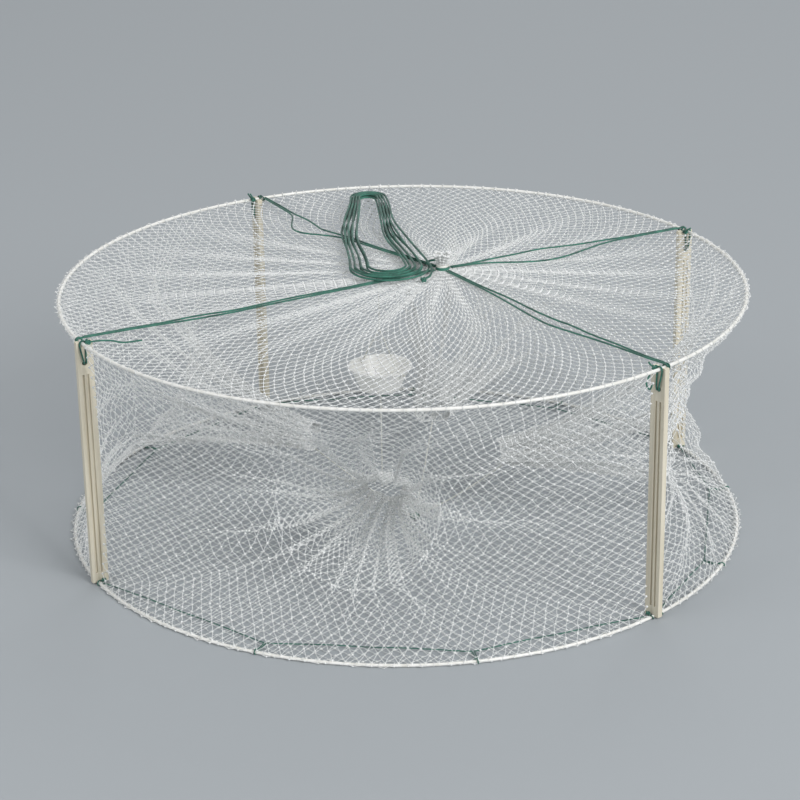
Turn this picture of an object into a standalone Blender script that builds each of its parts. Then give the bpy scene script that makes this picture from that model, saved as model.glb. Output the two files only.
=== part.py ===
"""A folding fish trap: two wire hoops, four moulded uprights, netting with four funnels, and its cords.

Metres, +Z up. The origin is on the floor under the middle of the bottom hoop, and -Y faces the front funnel.
"""
import math

import bmesh
import bpy
import numpy as np
from mathutils import Matrix, Vector

# Driving dimensions of the hoops and of the whole trap
HOOP_RADIUS = 0.300
WIRE_DIAMETER = 0.0028
HOOP_SPACING = 0.2182
WIRE_SIDES = 6
HOOP_STEPS = 72
FOLD_ANGLE = 80.0

# Moulded uprights: widths along the hoop's radius, thickness along its tangent
UPRIGHT_INNER_WIDTH = 0.0094
UPRIGHT_OUTER_WIDTH = 0.0050
UPRIGHT_THICKNESS = 0.005
UPRIGHT_WEB = 0.0016
INNER_FLANGE_WIDTH = 0.0050
OUTER_FLANGE_WIDTH = 0.0034
RIB_WIDTH = 0.0021
NOTCH_INNER_SLACK = 0.0034
NOTCH_CHAMFER = 0.0012
TOP_PRONG_HEIGHT = 0.0010
FOOT_TO_FLOOR = 0.0010
POCKET_FROM_TOP = 0.028
POCKET_FROM_FOOT = 0.009
LASHING_HOLE_DIAMETER = 0.0044
LASHING_HOLE_DROP = 0.0175
UPRIGHT_ANGLES = {"front_left": 207.6, "front_right": 312.9, "back_right": 27.4, "back_left": 118.4}

# Netting of the bottom and the top, as flat nets of bars
NET_BAR = 0.0016
BOTTOM_NET_THICKNESS = 0.0007
BOTTOM_NET_LIFT = 0.0002
BOTTOM_CELLS = 8
TOP_NET_THICKNESS = 0.0012
TOP_SECTORS = 24
TOP_RINGS = 4
TOP_SPOKE_SHIFT = 5.0

# Netting of the sides, as thin openwork, and of the funnels, as thin shells
SHELL_THICKNESS = 0.0009
SHELL_STEPS = 28
SIDE_RINGS = 2
FUNNEL_RINGS = 2
WAIST_AT_UPRIGHT = 0.008
WAIST_AT_MIDDLE = 0.050
MOUTH_HALF_WIDTH = 0.080
MOUTH_HALF_HEIGHT = 0.066
THROAT_RADIUS = 0.088
THROAT_HEIGHT = 0.064
THROAT_HALF_WIDTH = 0.019
THROAT_HALF_HEIGHT = 0.011

# Gathered middle of the top netting
GATHER_PLACE = (0.036, 0.034)
GATHER_HUB_RADIUS = 0.010
TUFT_NECK_RADIUS = 0.004
TUFT_NECK_HEIGHT = 0.0075
TUFT_TOP_RADIUS = 0.0075
TUFT_HEIGHT = 0.015
DRAW_CORD_DIAMETER = 0.0014
RING_CORD_DIAMETER = 0.0026
CORD_RING_STEPS = 16

# Green cords
LASHING_DIAMETER = 0.0015
BRIDLE_DIAMETER = 0.0016
BRIDLE_BENDS = {
    "front_left": (-0.142, -0.071),
    "front_right": (0.125, -0.112),
    "back_right": (0.140, 0.081),
    "back_left": (-0.076, 0.154),
}
# How far the near and the far strand swing out, between which shares of the way out, and the shares of its points
BRIDLE_SLACK = {
    "front_left": (0.0005, 0.0010, 0.10, 0.95, (0, 0.5, 1)),
    "front_right": (0.0025, 0.0025, 0.10, 0.95, (0, 0.5, 1)),
    "back_right": (0.0200, 0.0065, 0.06, 0.80, (0, 0.18, 0.31, 0.44, 0.56, 0.68, 0.79, 1)),
    "back_left": (0.0200, 0.0010, 0.36, 0.785, (0, 0.43, 0.51, 0.59, 0.67, 0.77, 1)),
}
LACING_DIAMETER = 0.0010
LACING_INSET = 0.014
LACING_LEGS_APART = 0.0024
LACING_TIES = {"front": (245.8, 280.5), "right": (335.0, 366.6), "back": (57.7, 88.1), "left": (148.1, 177.9)}
FUNNEL_TIE_DIAMETER = 0.0012
TIE_KNOT_PLACE = (0.008, -0.020)
TIE_KNOT_RADIUS = 0.0045
TIE_KNOT_HEIGHT = 0.005

# Haul cord: its lead from the bridle ring, and a hank of loops that is wide in front and narrow behind
HAUL_DIAMETER = 0.0020
LEAD_BENDS = ((0.0005, 0.0115), (-0.0035, 0.0165), (-0.0095, 0.0165), (-0.0138, 0.0115))
HANK_LOOPS = 8
HANK_FRONT = (-0.012, 0.031)
HANK_BACK = (-0.032, 0.243)
HANK_FRONT_RADIUS = 0.036
HANK_BACK_RADIUS = 0.0178
HANK_FRONT_PITCH = 0.0052
HANK_BACK_PITCH = 0.0027
HANK_LAYER_PITCH = 0.0026
HANK_BOW = 0.007
HANK_WAVE = 0.0016
HANK_SHIFT = 0.0026
HANK_SHIFT_DOWN = (-0.6, 0.8)
HANK_SHIFT_UP = (-0.95, -0.3)
TAIL_BENDS = ((0.0262, 0.018), (0.0245, 0.009))
END_KNOT_PLACE = (0.0185, -0.001)
END_KNOT_RADIUS = 0.0030
END_KNOT_HEIGHT = 0.0044

# Bait cup and the line that holds it in the middle of the trap
CUP_PLACE = (-0.0215, 0.052)
CUP_RIM_RADIUS = 0.0295
CUP_WALL_RADIUS = 0.0280
CUP_BOTTOM_RADIUS = 0.0185
CUP_HEIGHT = 0.022
CUP_WALL = 0.0012
CUP_LIP_HEIGHT = 0.0016
CUP_SIDES = 28
CUP_HOLE_DIAMETER = 0.0024
CUP_HOLE_DROP = 0.003
ROD_SIDES = 10
BAIL_ANGLE = -46.0
BAIL_HEIGHT = 0.036
BAIT_LINE_DIAMETER = 0.0012
STOPPER_RADIUS = 0.0028
STOPPER_HEIGHT = 0.004

# Gap that touching pieces keep
GAP = 0.0003

# Heights and places worked out from the sizes above
WIRE_RADIUS = WIRE_DIAMETER / 2
BOTTOM_WIRE_Z = WIRE_RADIUS * math.cos(math.pi / WIRE_SIDES)
TOP_WIRE_Z = BOTTOM_WIRE_Z + HOOP_SPACING
NET_RADIUS = (HOOP_RADIUS - WIRE_RADIUS) * math.cos(math.pi / HOOP_STEPS) - GAP
BOTTOM_NET_TOP = BOTTOM_NET_LIFT + BOTTOM_NET_THICKNESS
TOP_NET_TOP = TOP_WIRE_Z + TOP_NET_THICKNESS / 2
TOP_NET_UNDERSIDE = TOP_WIRE_Z - TOP_NET_THICKNESS / 2
RIB_PLACE = (INNER_FLANGE_WIDTH - UPRIGHT_INNER_WIDTH + UPRIGHT_OUTER_WIDTH - OUTER_FLANGE_WIDTH) / 2
SIDE_BOTTOM_Z = BOTTOM_WIRE_Z + WIRE_RADIUS + GAP
SIDE_TOP_Z = TOP_WIRE_Z - WIRE_RADIUS - GAP
LASHING_OFFSET = UPRIGHT_THICKNESS / 2 + GAP + LASHING_DIAMETER / 2
SLOT_HALF_WIDTH = LASHING_OFFSET + LASHING_DIAMETER / 2 + GAP
BRIDLE_NEAR = SLOT_HALF_WIDTH + GAP + BRIDLE_DIAMETER / 2
BRIDLE_FAR = BRIDLE_NEAR + BRIDLE_DIAMETER + 2 * GAP
SIDE_MARGIN = BRIDLE_FAR + BRIDLE_DIAMETER / 2 + 2 * GAP
BRIDLE_RING_RADIUS = TUFT_NECK_RADIUS + GAP + RING_CORD_DIAMETER / 2
BRIDLE_RING_Z = TOP_NET_TOP + GAP + RING_CORD_DIAMETER / 2
DRAW_CORD_RADIUS = TUFT_NECK_RADIUS + GAP + DRAW_CORD_DIAMETER / 2
DRAW_CORD_Z = BRIDLE_RING_Z + RING_CORD_DIAMETER / 2 + GAP + DRAW_CORD_DIAMETER / 2
HANK_Z = TOP_NET_TOP + GAP + BRIDLE_DIAMETER + GAP + HAUL_DIAMETER / 2
BAIT_FOOT_Z = BOTTOM_NET_TOP + GAP + BAIT_LINE_DIAMETER / 2
BAIT_HEAD_Z = TOP_NET_UNDERSIDE - GAP - BAIT_LINE_DIAMETER / 2
CUP_PIVOT_DROP = BAIT_LINE_DIAMETER / 2 + GAP
CUP_HOLE_HEIGHT = CUP_HEIGHT - CUP_HOLE_DROP
CUP_SLOPE = (CUP_WALL_RADIUS - CUP_BOTTOM_RADIUS) / CUP_HEIGHT
LEAN_LENGTH = (BAIT_HEAD_Z - BAIT_FOOT_Z - CUP_PIVOT_DROP - CUP_HOLE_HEIGHT) / 2
CUP_BOTTOM_Z = BAIT_FOOT_Z + LEAN_LENGTH + CUP_PIVOT_DROP
CUP_HOLE_Z = CUP_BOTTOM_Z + CUP_HOLE_HEIGHT
PANELS = {
    "front": ("front_left", "front_right"),
    "right": ("front_right", "back_right"),
    "back": ("back_right", "back_left"),
    "left": ("back_left", "front_left"),
}

# Points along one turn of the hank: its front end, a run, its back end and the other run
FRONT_STEPS = 9
RUN_STEPS = 4
BACK_STEPS = 6
TURN_STEPS = FRONT_STEPS + BACK_STEPS + 2 * RUN_STEPS

# Finishes: colour and roughness
IVORY = ((0.86, 0.83, 0.76), 0.45)
COATED_WIRE = ((0.90, 0.90, 0.88), 0.35)
WHITE_NET = ((0.88, 0.89, 0.88), 0.55)
GREEN_CORD = ((0.10, 0.30, 0.25), 0.75)
WHITE_CORD = ((0.86, 0.86, 0.83), 0.70)
WHITE_PLASTIC = ((0.93, 0.93, 0.91), 0.35)

UP = Vector((0, 0, 1))
axis_places = {}


def remove_all():
    """Empty the scene before modelling."""
    for thing in list(bpy.data.objects):
        bpy.data.objects.remove(thing, do_unlink=True)


def flat_direction(angle):
    """The direction of an angle in radians from +X, level with the floor."""
    return Vector((math.cos(angle), math.sin(angle), 0))


def material(name, colour, roughness):
    """A Principled material from an sRGB colour of three numbers from 0 to 1."""
    made = bpy.data.materials.new(name)
    made.use_nodes = True
    shader = made.node_tree.nodes["Principled BSDF"]
    linear = [c / 12.92 if c <= 0.04045 else ((c + 0.055) / 1.055) ** 2.4 for c in colour]
    shader.inputs["Base Color"].default_value = (*linear, 1.0)
    shader.inputs["Roughness"].default_value = roughness
    shader.inputs["Metallic"].default_value = 0.0
    return made


def place(name, data, finish, axis=None, at=(0, 0, 0), turn=0.0):
    """Link a piece with its own material, at a place of the world, on the axis that it moves with."""
    thing = bpy.data.objects.new(name, data)
    data.materials.clear()
    data.materials.append(material(name, *finish))
    bpy.context.scene.collection.objects.link(thing)
    thing.parent = axis
    thing.location = Vector(at) - (axis_places[axis.name] if axis else Vector())
    thing.rotation_euler = (0, 0, turn)
    return thing


def axis_at(name, at, axis=None):
    """An empty on a joint's axis, at a place of the world."""
    made = bpy.data.objects.new(name, None)
    bpy.context.scene.collection.objects.link(made)
    made.parent = axis
    made.location = Vector(at) - (axis_places[axis.name] if axis else Vector())
    axis_places[name] = Vector(at)
    return made


def mesh_from(name, bm, smooth_angle=None):
    """Turn a bmesh into a mesh with its faces pointing out."""
    bmesh.ops.recalc_face_normals(bm, faces=bm.faces)
    data = bpy.data.meshes.new(name)
    bm.to_mesh(data)
    bm.free()
    if smooth_angle is not None:
        data.shade_smooth()
        data.set_sharp_from_angle(angle=math.radians(smooth_angle))
    return data


def tube(name, points, diameter, finish, axis=None, closed=False, resolution=1):
    """A round cord through points of the world, as a curve with a bevel and filled caps."""
    data = bpy.data.curves.new(name, "CURVE")
    data.dimensions = "3D"
    data.bevel_depth = diameter / 2
    data.bevel_resolution = resolution
    data.use_fill_caps = not closed
    line = data.splines.new("POLY")
    line.points.add(len(points) - 1)
    for spot, point in zip(line.points, points):
        spot.co = (*point, 1.0)
    line.use_cyclic_u = closed
    return place(name, data, finish, axis)


def smooth_route(knots, steps):
    """Points along a Catmull-Rom curve through the knots, a number of steps for each stretch."""
    knots = [Vector(k) for k in knots]
    ends = [2 * knots[0] - knots[1], *knots, 2 * knots[-1] - knots[-2]]
    route = []
    for a, b, c, d in zip(ends, ends[1:], ends[2:], ends[3:]):
        for j in range(steps):
            t = j / steps
            curve = 2 * b + (c - a) * t + (2 * a - 5 * b + 4 * c - d) * t**2 + (3 * b - a - 3 * c + d) * t**3
            route.append(curve / 2)
    route.append(knots[-1])
    return route


def turned(name, profile, sides, finish, axis=None, at=(0, 0, 0), turn=0.0):
    """A closed body turned about Z from a profile of radius and height that starts and ends on the axis."""
    bm = bmesh.new()
    rings = []
    for radius, height in profile:
        corners = range(sides) if radius else range(1)
        turns = [2 * math.pi * k / sides for k in corners]
        rings.append([bm.verts.new(radius * flat_direction(a) + height * UP) for a in turns])
    for low, high in zip(rings, rings[1:]):
        for k in range(sides):
            j = (k + 1) % sides
            corners = [low[k % len(low)], low[j % len(low)], high[j % len(high)], high[k % len(high)]]
            bm.faces.new(list(dict.fromkeys(corners)))
    return place(name, mesh_from(name, bm, 35), finish, axis, at, turn)


def ring(name, major, minor, sides, finish, axis=None, at=(0, 0, 0), start=0.0):
    """A closed ring of wire or cord: a section of a few sides, flat below, carried round a circle."""
    bm = bmesh.new()
    loops = []
    for i in range(sides):
        out = flat_direction(start + 2 * math.pi * i / sides)
        across = [2 * math.pi * j / WIRE_SIDES for j in range(WIRE_SIDES)]
        spots = [(major + minor * math.cos(a)) * out + minor * math.sin(a) * UP for a in across]
        loops.append([bm.verts.new(spot) for spot in spots])
    for here, there in zip(loops, loops[1:] + loops[:1]):
        for j in range(WIRE_SIDES):
            k = (j + 1) % WIRE_SIDES
            bm.faces.new((here[j], there[j], there[k], here[k]))
    return place(name, mesh_from(name, bm, 50), finish, axis, at)


def knot(name, radius, height, axis, at, turn=0.0):
    """A tied knot of green cord: a low round body with an upright middle and a flat underside."""
    profile = [
        (0, 0), (0.75 * radius, 0), (radius, 0.22 * height), (radius, 0.72 * height),
        (0.7 * radius, height), (0, height),
    ]
    return turned(name, profile, 10, GREEN_CORD, axis, at, turn)


def cutter(name, bm, at=(0, 0, 0), turn=0.0):
    """A hidden solid that only cuts others."""
    made = bpy.data.objects.new(name, mesh_from(name, bm))
    bpy.context.scene.collection.objects.link(made)
    made.location = at
    made.rotation_euler = (0, 0, turn)
    made.hide_render = True
    made.display_type = "WIRE"
    return made


def cut_with(thing, tool):
    """Cut a hidden solid out of a piece."""
    cut = thing.modifiers.new(tool.name, "BOOLEAN")
    cut.operation = "DIFFERENCE"
    cut.object = tool


def add_box(bm, low, high):
    """Add a box between two corners."""
    low, high = Vector(low), Vector(high)
    box = Matrix.Translation((low + high) / 2) @ Matrix.Diagonal((*(high - low), 1))
    bmesh.ops.create_cube(bm, size=1, matrix=box)


def add_rod(bm, radius, length, frame):
    """Add a round rod along the Z of a frame, about its origin."""
    bmesh.ops.create_cone(
        bm, cap_ends=True, segments=ROD_SIDES, radius1=radius, radius2=radius, depth=length, matrix=frame,
    )


def hoop(name, height, axis=None):
    """A hoop of coated wire, whose section has a flat underside to stand on."""
    start = math.radians(UPRIGHT_ANGLES["front_right"])
    return ring(name, HOOP_RADIUS, WIRE_RADIUS, HOOP_STEPS, COATED_WIRE, axis, (0, 0, height), start)


def on_top_wire(corner):
    """The place on the middle of the top wire where an upright hangs."""
    return HOOP_RADIUS * flat_direction(math.radians(UPRIGHT_ANGLES[corner])) + TOP_WIRE_Z * UP


def upright_outline():
    """The strip's outline in its own X and Z: straight edges, and a notch with chamfered corners at each end.

    X runs outwards from the middle of the top wire, and each notch is open to its end of the strip.
    """
    inner, outer = -UPRIGHT_INNER_WIDTH, UPRIGHT_OUTER_WIDTH
    top = TOP_PRONG_HEIGHT
    foot = FOOT_TO_FLOOR - TOP_WIRE_Z
    seat = WIRE_RADIUS + GAP
    left, right = -seat - NOTCH_INNER_SLACK, seat
    low = seat - HOOP_SPACING
    corner = NOTCH_CHAMFER
    return [
        (inner, foot), (left, foot), (left, low - corner), (left + corner, low),
        (right - corner, low), (right, low - corner), (right, foot), (outer, foot),
        (outer, top), (right, top), (right, corner - seat), (right - corner, -seat),
        (left + corner, -seat), (left, corner - seat), (left, top), (inner, top),
    ]


def upright_cutter(corner):
    """The two pockets of each face, which leave a flange, a rib and a flange, and the hole for the lashing."""
    bm = bmesh.new()
    high = -POCKET_FROM_TOP
    low = POCKET_FROM_FOOT - HOOP_SPACING
    inner_pocket = (INNER_FLANGE_WIDTH - UPRIGHT_INNER_WIDTH, RIB_PLACE - RIB_WIDTH / 2)
    outer_pocket = (RIB_PLACE + RIB_WIDTH / 2, UPRIGHT_OUTER_WIDTH - OUTER_FLANGE_WIDTH)
    for left, right in (inner_pocket, outer_pocket):
        add_box(bm, (left, UPRIGHT_WEB / 2, low), (right, UPRIGHT_THICKNESS, high))
        add_box(bm, (left, -UPRIGHT_THICKNESS, low), (right, -UPRIGHT_WEB / 2, high))
    hole = Matrix.Translation((RIB_PLACE, 0, -LASHING_HOLE_DROP)) @ Matrix.Rotation(math.pi / 2, 4, "X")
    add_rod(bm, LASHING_HOLE_DIAMETER / 2, 2 * UPRIGHT_THICKNESS, hole)
    return cutter("upright_cutter_" + corner, bm, on_top_wire(corner), math.radians(UPRIGHT_ANGLES[corner]))


def upright(corner, axis):
    """A moulded upright, which swings on the top wire and stands over the bottom one."""
    bm = bmesh.new()
    face = bm.faces.new([bm.verts.new((x, -UPRIGHT_THICKNESS / 2, z)) for x, z in upright_outline()])
    moved = bmesh.ops.extrude_face_region(bm, geom=[face])["geom"]
    moved = [v for v in moved if isinstance(v, bmesh.types.BMVert)]
    bmesh.ops.translate(bm, verts=moved, vec=(0, UPRIGHT_THICKNESS, 0))
    name = "upright_" + corner
    angle = math.radians(UPRIGHT_ANGLES[corner])
    strip = place(name, mesh_from(name, bm), IVORY, axis, on_top_wire(corner), angle)
    cut_with(strip, upright_cutter(corner))


def lashing(corner, axis):
    """The closed cord that ties an upright to the top wire: twice through its hole, and over on both faces."""
    over = WIRE_RADIUS + GAP + LASHING_DIAMETER / 2 + GAP / 3
    shoulder = over * math.sqrt(0.5) * 1.04
    apart = LASHING_DIAMETER / 2 + GAP
    arch = [
        (RIB_PLACE - apart, -LASHING_HOLE_DROP), (-over, -1.3 * over), (-over, 0), (-shoulder, shoulder), (0, over),
        (shoulder, shoulder), (over, 0), (over, -1.3 * over), (RIB_PLACE + apart, -LASHING_HOLE_DROP),
    ]
    route = [Vector((x, LASHING_OFFSET, z)) for x, z in arch]
    route += [Vector((x, -LASHING_OFFSET, z)) for x, z in arch[::-1]]
    turn = Matrix.Rotation(math.radians(UPRIGHT_ANGLES[corner]), 3, "Z")
    points = [on_top_wire(corner) + turn @ point for point in route]
    tube("lashing_" + corner, points, LASHING_DIAMETER, GREEN_CORD, axis, closed=True)


def draw_to(points, target, reach):
    """Move the point nearest to a tie onto it, and its neighbours part of the way."""
    centre = min(points, key=lambda p: (p - target).length).copy()
    for point in points:
        share = max(0.0, 1 - (point - centre).length / reach)
        point += share * (target - centre)


def open_cells(bm):
    """Leave only bars along the edges of each face: it is inset by half a bar, and its middle is removed."""
    bm.normal_update()
    gaps = list(bm.faces)
    bmesh.ops.inset_individual(bm, faces=gaps, thickness=NET_BAR / 2, use_even_offset=True)
    bmesh.ops.delete(bm, geom=gaps, context="FACES_ONLY")


def flat_net(name, cells, underside, thickness, axis=None):
    """A flat net of bars, from the cells of a plane grid."""
    bm = bmesh.new()
    made = {}
    for cell in cells:
        corners = []
        for point in cell:
            key = (round(point.x, 6), round(point.y, 6))
            if key not in made:
                made[key] = bm.verts.new((point.x, point.y, underside))
            corners.append(made[key])
        bm.faces.new(corners)
    open_cells(bm)
    bars = bmesh.ops.extrude_face_region(bm, geom=list(bm.faces))["geom"]
    bars = [v for v in bars if isinstance(v, bmesh.types.BMVert)]
    bmesh.ops.translate(bm, verts=bars, vec=(0, 0, thickness))
    return place(name, mesh_from(name, bm), WHITE_NET, axis)


def bottom_net():
    """The bottom netting: a square grid drawn out to the round hoop, and drawn in to its two ties."""
    shares = [2 * i / BOTTOM_CELLS - 1 for i in range(BOTTOM_CELLS + 1)]
    grid = [
        [NET_RADIUS * Vector((u * math.sqrt(1 - v * v / 2), v * math.sqrt(1 - u * u / 2))) for v in shares]
        for u in shares
    ]
    for tie in (CUP_PLACE, TIE_KNOT_PLACE):
        draw_to([p for row in grid[1:-1] for p in row[1:-1]], Vector(tie), 4 * HOOP_RADIUS / BOTTOM_CELLS)
    cells = [
        [grid[i][j], grid[i + 1][j], grid[i + 1][j + 1], grid[i][j + 1]]
        for i in range(BOTTOM_CELLS)
        for j in range(BOTTOM_CELLS)
    ]
    flat_net("bottom_net", cells, BOTTOM_NET_LIFT, BOTTOM_NET_THICKNESS)


def slot_cutter(corner):
    """The space at the rim of the top netting through which a folded upright and its lashing reach."""
    fold = math.radians(FOLD_ANGLE)
    below = (UPRIGHT_INNER_WIDTH * math.sin(fold) + TOP_NET_THICKNESS / 2 + GAP) / math.cos(fold)
    reach = UPRIGHT_INNER_WIDTH * math.cos(fold) + below * math.sin(fold) + WIRE_RADIUS
    high = 2 * TOP_NET_THICKNESS
    bm = bmesh.new()
    add_box(bm, (-reach, -SLOT_HALF_WIDTH, -high), (UPRIGHT_OUTER_WIDTH, SLOT_HALF_WIDTH, high))
    return cutter("slot_" + corner, bm, on_top_wire(corner), math.radians(UPRIGHT_ANGLES[corner]))


def top_net(axis):
    """The top netting: strands that run in to the gathered middle, and rings between them."""
    gather = Vector(GATHER_PLACE)
    first = math.radians(UPRIGHT_ANGLES["front_right"] + TOP_SPOKE_SHIFT)

    def spot(step, share):
        out = flat_direction(first + 2 * math.pi * (step % TOP_SECTORS) / TOP_SECTORS).xy
        return (NET_RADIUS * out).lerp(gather + GATHER_HUB_RADIUS * out, share)

    rings = [[spot(i, k / TOP_RINGS) for i in range(TOP_SECTORS)] for k in range(1, TOP_RINGS + 1)]
    draw_to([p for row in rings[:-1] for p in row], Vector(CUP_PLACE), 6 * HOOP_RADIUS / TOP_SECTORS)
    cells = []
    for i in range(TOP_SECTORS):
        j = (i + 1) % TOP_SECTORS
        rim = [spot(i + k / 3, 0) for k in range(4)]
        cells.append([rings[0][i], *rim, rings[0][j]])
        for outer, inner in zip(rings, rings[1:]):
            cells.append([inner[i], outer[i], outer[j], inner[j]])
    net = flat_net("top_net", cells, TOP_NET_UNDERSIDE, TOP_NET_THICKNESS, axis)
    for corner in UPRIGHT_ANGLES:
        cut_with(net, slot_cutter(corner))


def panel_ends(panel):
    """The angles of the uprights at a side's two ends, in radians, the second one after the first."""
    first, last = (math.radians(UPRIGHT_ANGLES[corner]) for corner in PANELS[panel])
    return first, last if last > first else last + 2 * math.pi


def panel_span(panel):
    """The middle angle and half the angle of a side's netting, clear of the uprights and the bridles."""
    first, last = panel_ends(panel)
    return (first + last) / 2, (last - first) / 2 - SIDE_MARGIN / HOOP_RADIUS


def side_point(panel, p, q):
    """A point of a side's netting, p and q from -1 to 1 along the hoop and up, drawn in at the waist."""
    middle, half = panel_span(panel)
    waist = WAIST_AT_UPRIGHT + (WAIST_AT_MIDDLE - WAIST_AT_UPRIGHT) * (1 - p * p)
    radius = HOOP_RADIUS - waist * (1 - q * q)
    height = (SIDE_BOTTOM_Z + SIDE_TOP_Z) / 2 + q * (SIDE_TOP_Z - SIDE_BOTTOM_Z) / 2
    return radius * flat_direction(middle + half * p) + height * UP


def mouth_share(panel):
    """The mouth's half width and half height as shares of the side's."""
    half_width = HOOP_RADIUS * panel_span(panel)[1]
    half_height = (SIDE_TOP_Z - SIDE_BOTTOM_Z) / 2
    return MOUTH_HALF_WIDTH / half_width, MOUTH_HALF_HEIGHT / half_height


def ring_shell(name, rings, openwork=False):
    """A thin closed shell through rings of points, open at its first and its last ring, whole or of bars."""
    bm = bmesh.new()
    rows = [[bm.verts.new(point) for point in row] for row in rings]
    for low, high in zip(rows, rows[1:]):
        for k in range(len(low)):
            j = (k + 1) % len(low)
            bm.faces.new((low[k], low[j], high[j], high[k]))
    if openwork:
        open_cells(bm)
    shell = place(name, mesh_from(name, bm, 60), WHITE_NET)
    skin = shell.modifiers.new("thickness", "SOLIDIFY")
    skin.thickness = SHELL_THICKNESS
    skin.offset = 0


def ring_turns():
    """The directions of a shell's points round its mouth."""
    return [2 * math.pi * (i + 0.5) / SHELL_STEPS for i in range(SHELL_STEPS)]


def side_net(panel):
    """The netting of one side, from its four edges in to the mouth of its funnel."""
    across, up = mouth_share(panel)
    rings = []
    for k in range(SIDE_RINGS + 1):
        row = []
        for turn in ring_turns():
            x, y = math.cos(turn), math.sin(turn)
            edge = Vector((x, y)) / max(abs(x), abs(y))
            p, q = edge.lerp(Vector((across * x, up * y)), k / SIDE_RINGS)
            row.append(side_point(panel, p, q))
        rings.append(row)
    ring_shell("side_net_" + panel, rings, openwork=True)


def throat_point(panel, turn):
    """A point of the funnel's inner mouth, an upright ellipse across the side's middle direction."""
    out = flat_direction(panel_span(panel)[0])
    along = Vector((-out.y, out.x, 0))
    centre = THROAT_RADIUS * out + THROAT_HEIGHT * UP
    return centre + THROAT_HALF_WIDTH * math.cos(turn) * along + THROAT_HALF_HEIGHT * math.sin(turn) * UP


def funnel_point(panel, turn, share):
    """A point of the funnel, from the mouth at share 0 to the throat at 1, hollowed like a trumpet."""
    across, up = mouth_share(panel)
    mouth = side_point(panel, across * math.cos(turn), up * math.sin(turn))
    throat = throat_point(panel, turn)
    mouth_middle = side_point(panel, 0, 0)
    throat_middle = throat_point(panel, 0).lerp(throat_point(panel, math.pi), 0.5)
    narrowing = 1 - (1 - share) ** 1.5
    wide, narrow = mouth - mouth_middle, throat - throat_middle
    return mouth_middle.lerp(throat_middle, share) + wide.lerp(narrow, narrowing)


def funnel(panel):
    """An entrance funnel of netting, set just inside the mouth in its side."""
    length = HOOP_RADIUS - WAIST_AT_MIDDLE - THROAT_RADIUS
    start = (GAP + SHELL_THICKNESS) / length
    shares = [start + (1 - start) * k / FUNNEL_RINGS for k in range(FUNNEL_RINGS + 1)]
    ring_shell("funnel_" + panel, [[funnel_point(panel, t, share) for t in ring_turns()] for share in shares])


def funnel_tie(panel):
    """The cord that holds a funnel's inner mouth to the knot on the bottom netting."""
    radius = FUNNEL_TIE_DIAMETER / 2
    lip = throat_point(panel, -math.pi / 2) - (SHELL_THICKNESS / 2 + GAP + radius) * UP
    centre = Vector((*TIE_KNOT_PLACE, BOTTOM_NET_TOP + GAP + TIE_KNOT_HEIGHT / 2))
    away = (lip - centre) * Vector((1, 1, 0))
    end = centre + away.normalized() * (TIE_KNOT_RADIUS + GAP + radius)
    sag = lip.lerp(end, 0.5) - TIE_KNOT_HEIGHT / 2 * UP
    tube("funnel_tie_" + panel, smooth_route([lip, sag, end], 3), FUNNEL_TIE_DIAMETER, WHITE_CORD)


def funnel_tie_knot():
    """The knot on the bottom netting where the four funnels' cords meet."""
    knot("funnel_tie_knot", TIE_KNOT_RADIUS, TIE_KNOT_HEIGHT, None, (*TIE_KNOT_PLACE, BOTTOM_NET_TOP + GAP))


def bottom_lacing(panel):
    """The cord that laces a side to the bottom: straight runs inside the hoop, and two legs out to it at each tie."""
    first, last = panel_ends(panel)
    radius = LACING_DIAMETER / 2
    clear = (UPRIGHT_THICKNESS / 2 + 3 * LACING_DIAMETER + GAP) / HOOP_RADIUS
    angles = [first + clear, *map(math.radians, LACING_TIES[panel]), last - clear]
    height = BOTTOM_NET_TOP + GAP + radius
    outside = NET_RADIUS - radius
    inside = outside - LACING_INSET
    beside = LACING_LEGS_APART / 2 / HOOP_RADIUS

    def spot(reach, angle):
        return reach * flat_direction(angle) + height * UP

    route = [spot(outside, angles[0])]
    for angle in angles[1:-1]:
        tie = [(inside, -beside), (outside, -beside), (outside, beside), (inside, beside)]
        route += [spot(reach, angle + turn) for reach, turn in tie]
    route.append(spot(outside, angles[-1]))
    tube("bottom_lacing_" + panel, route, LACING_DIAMETER, GREEN_CORD)


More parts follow.
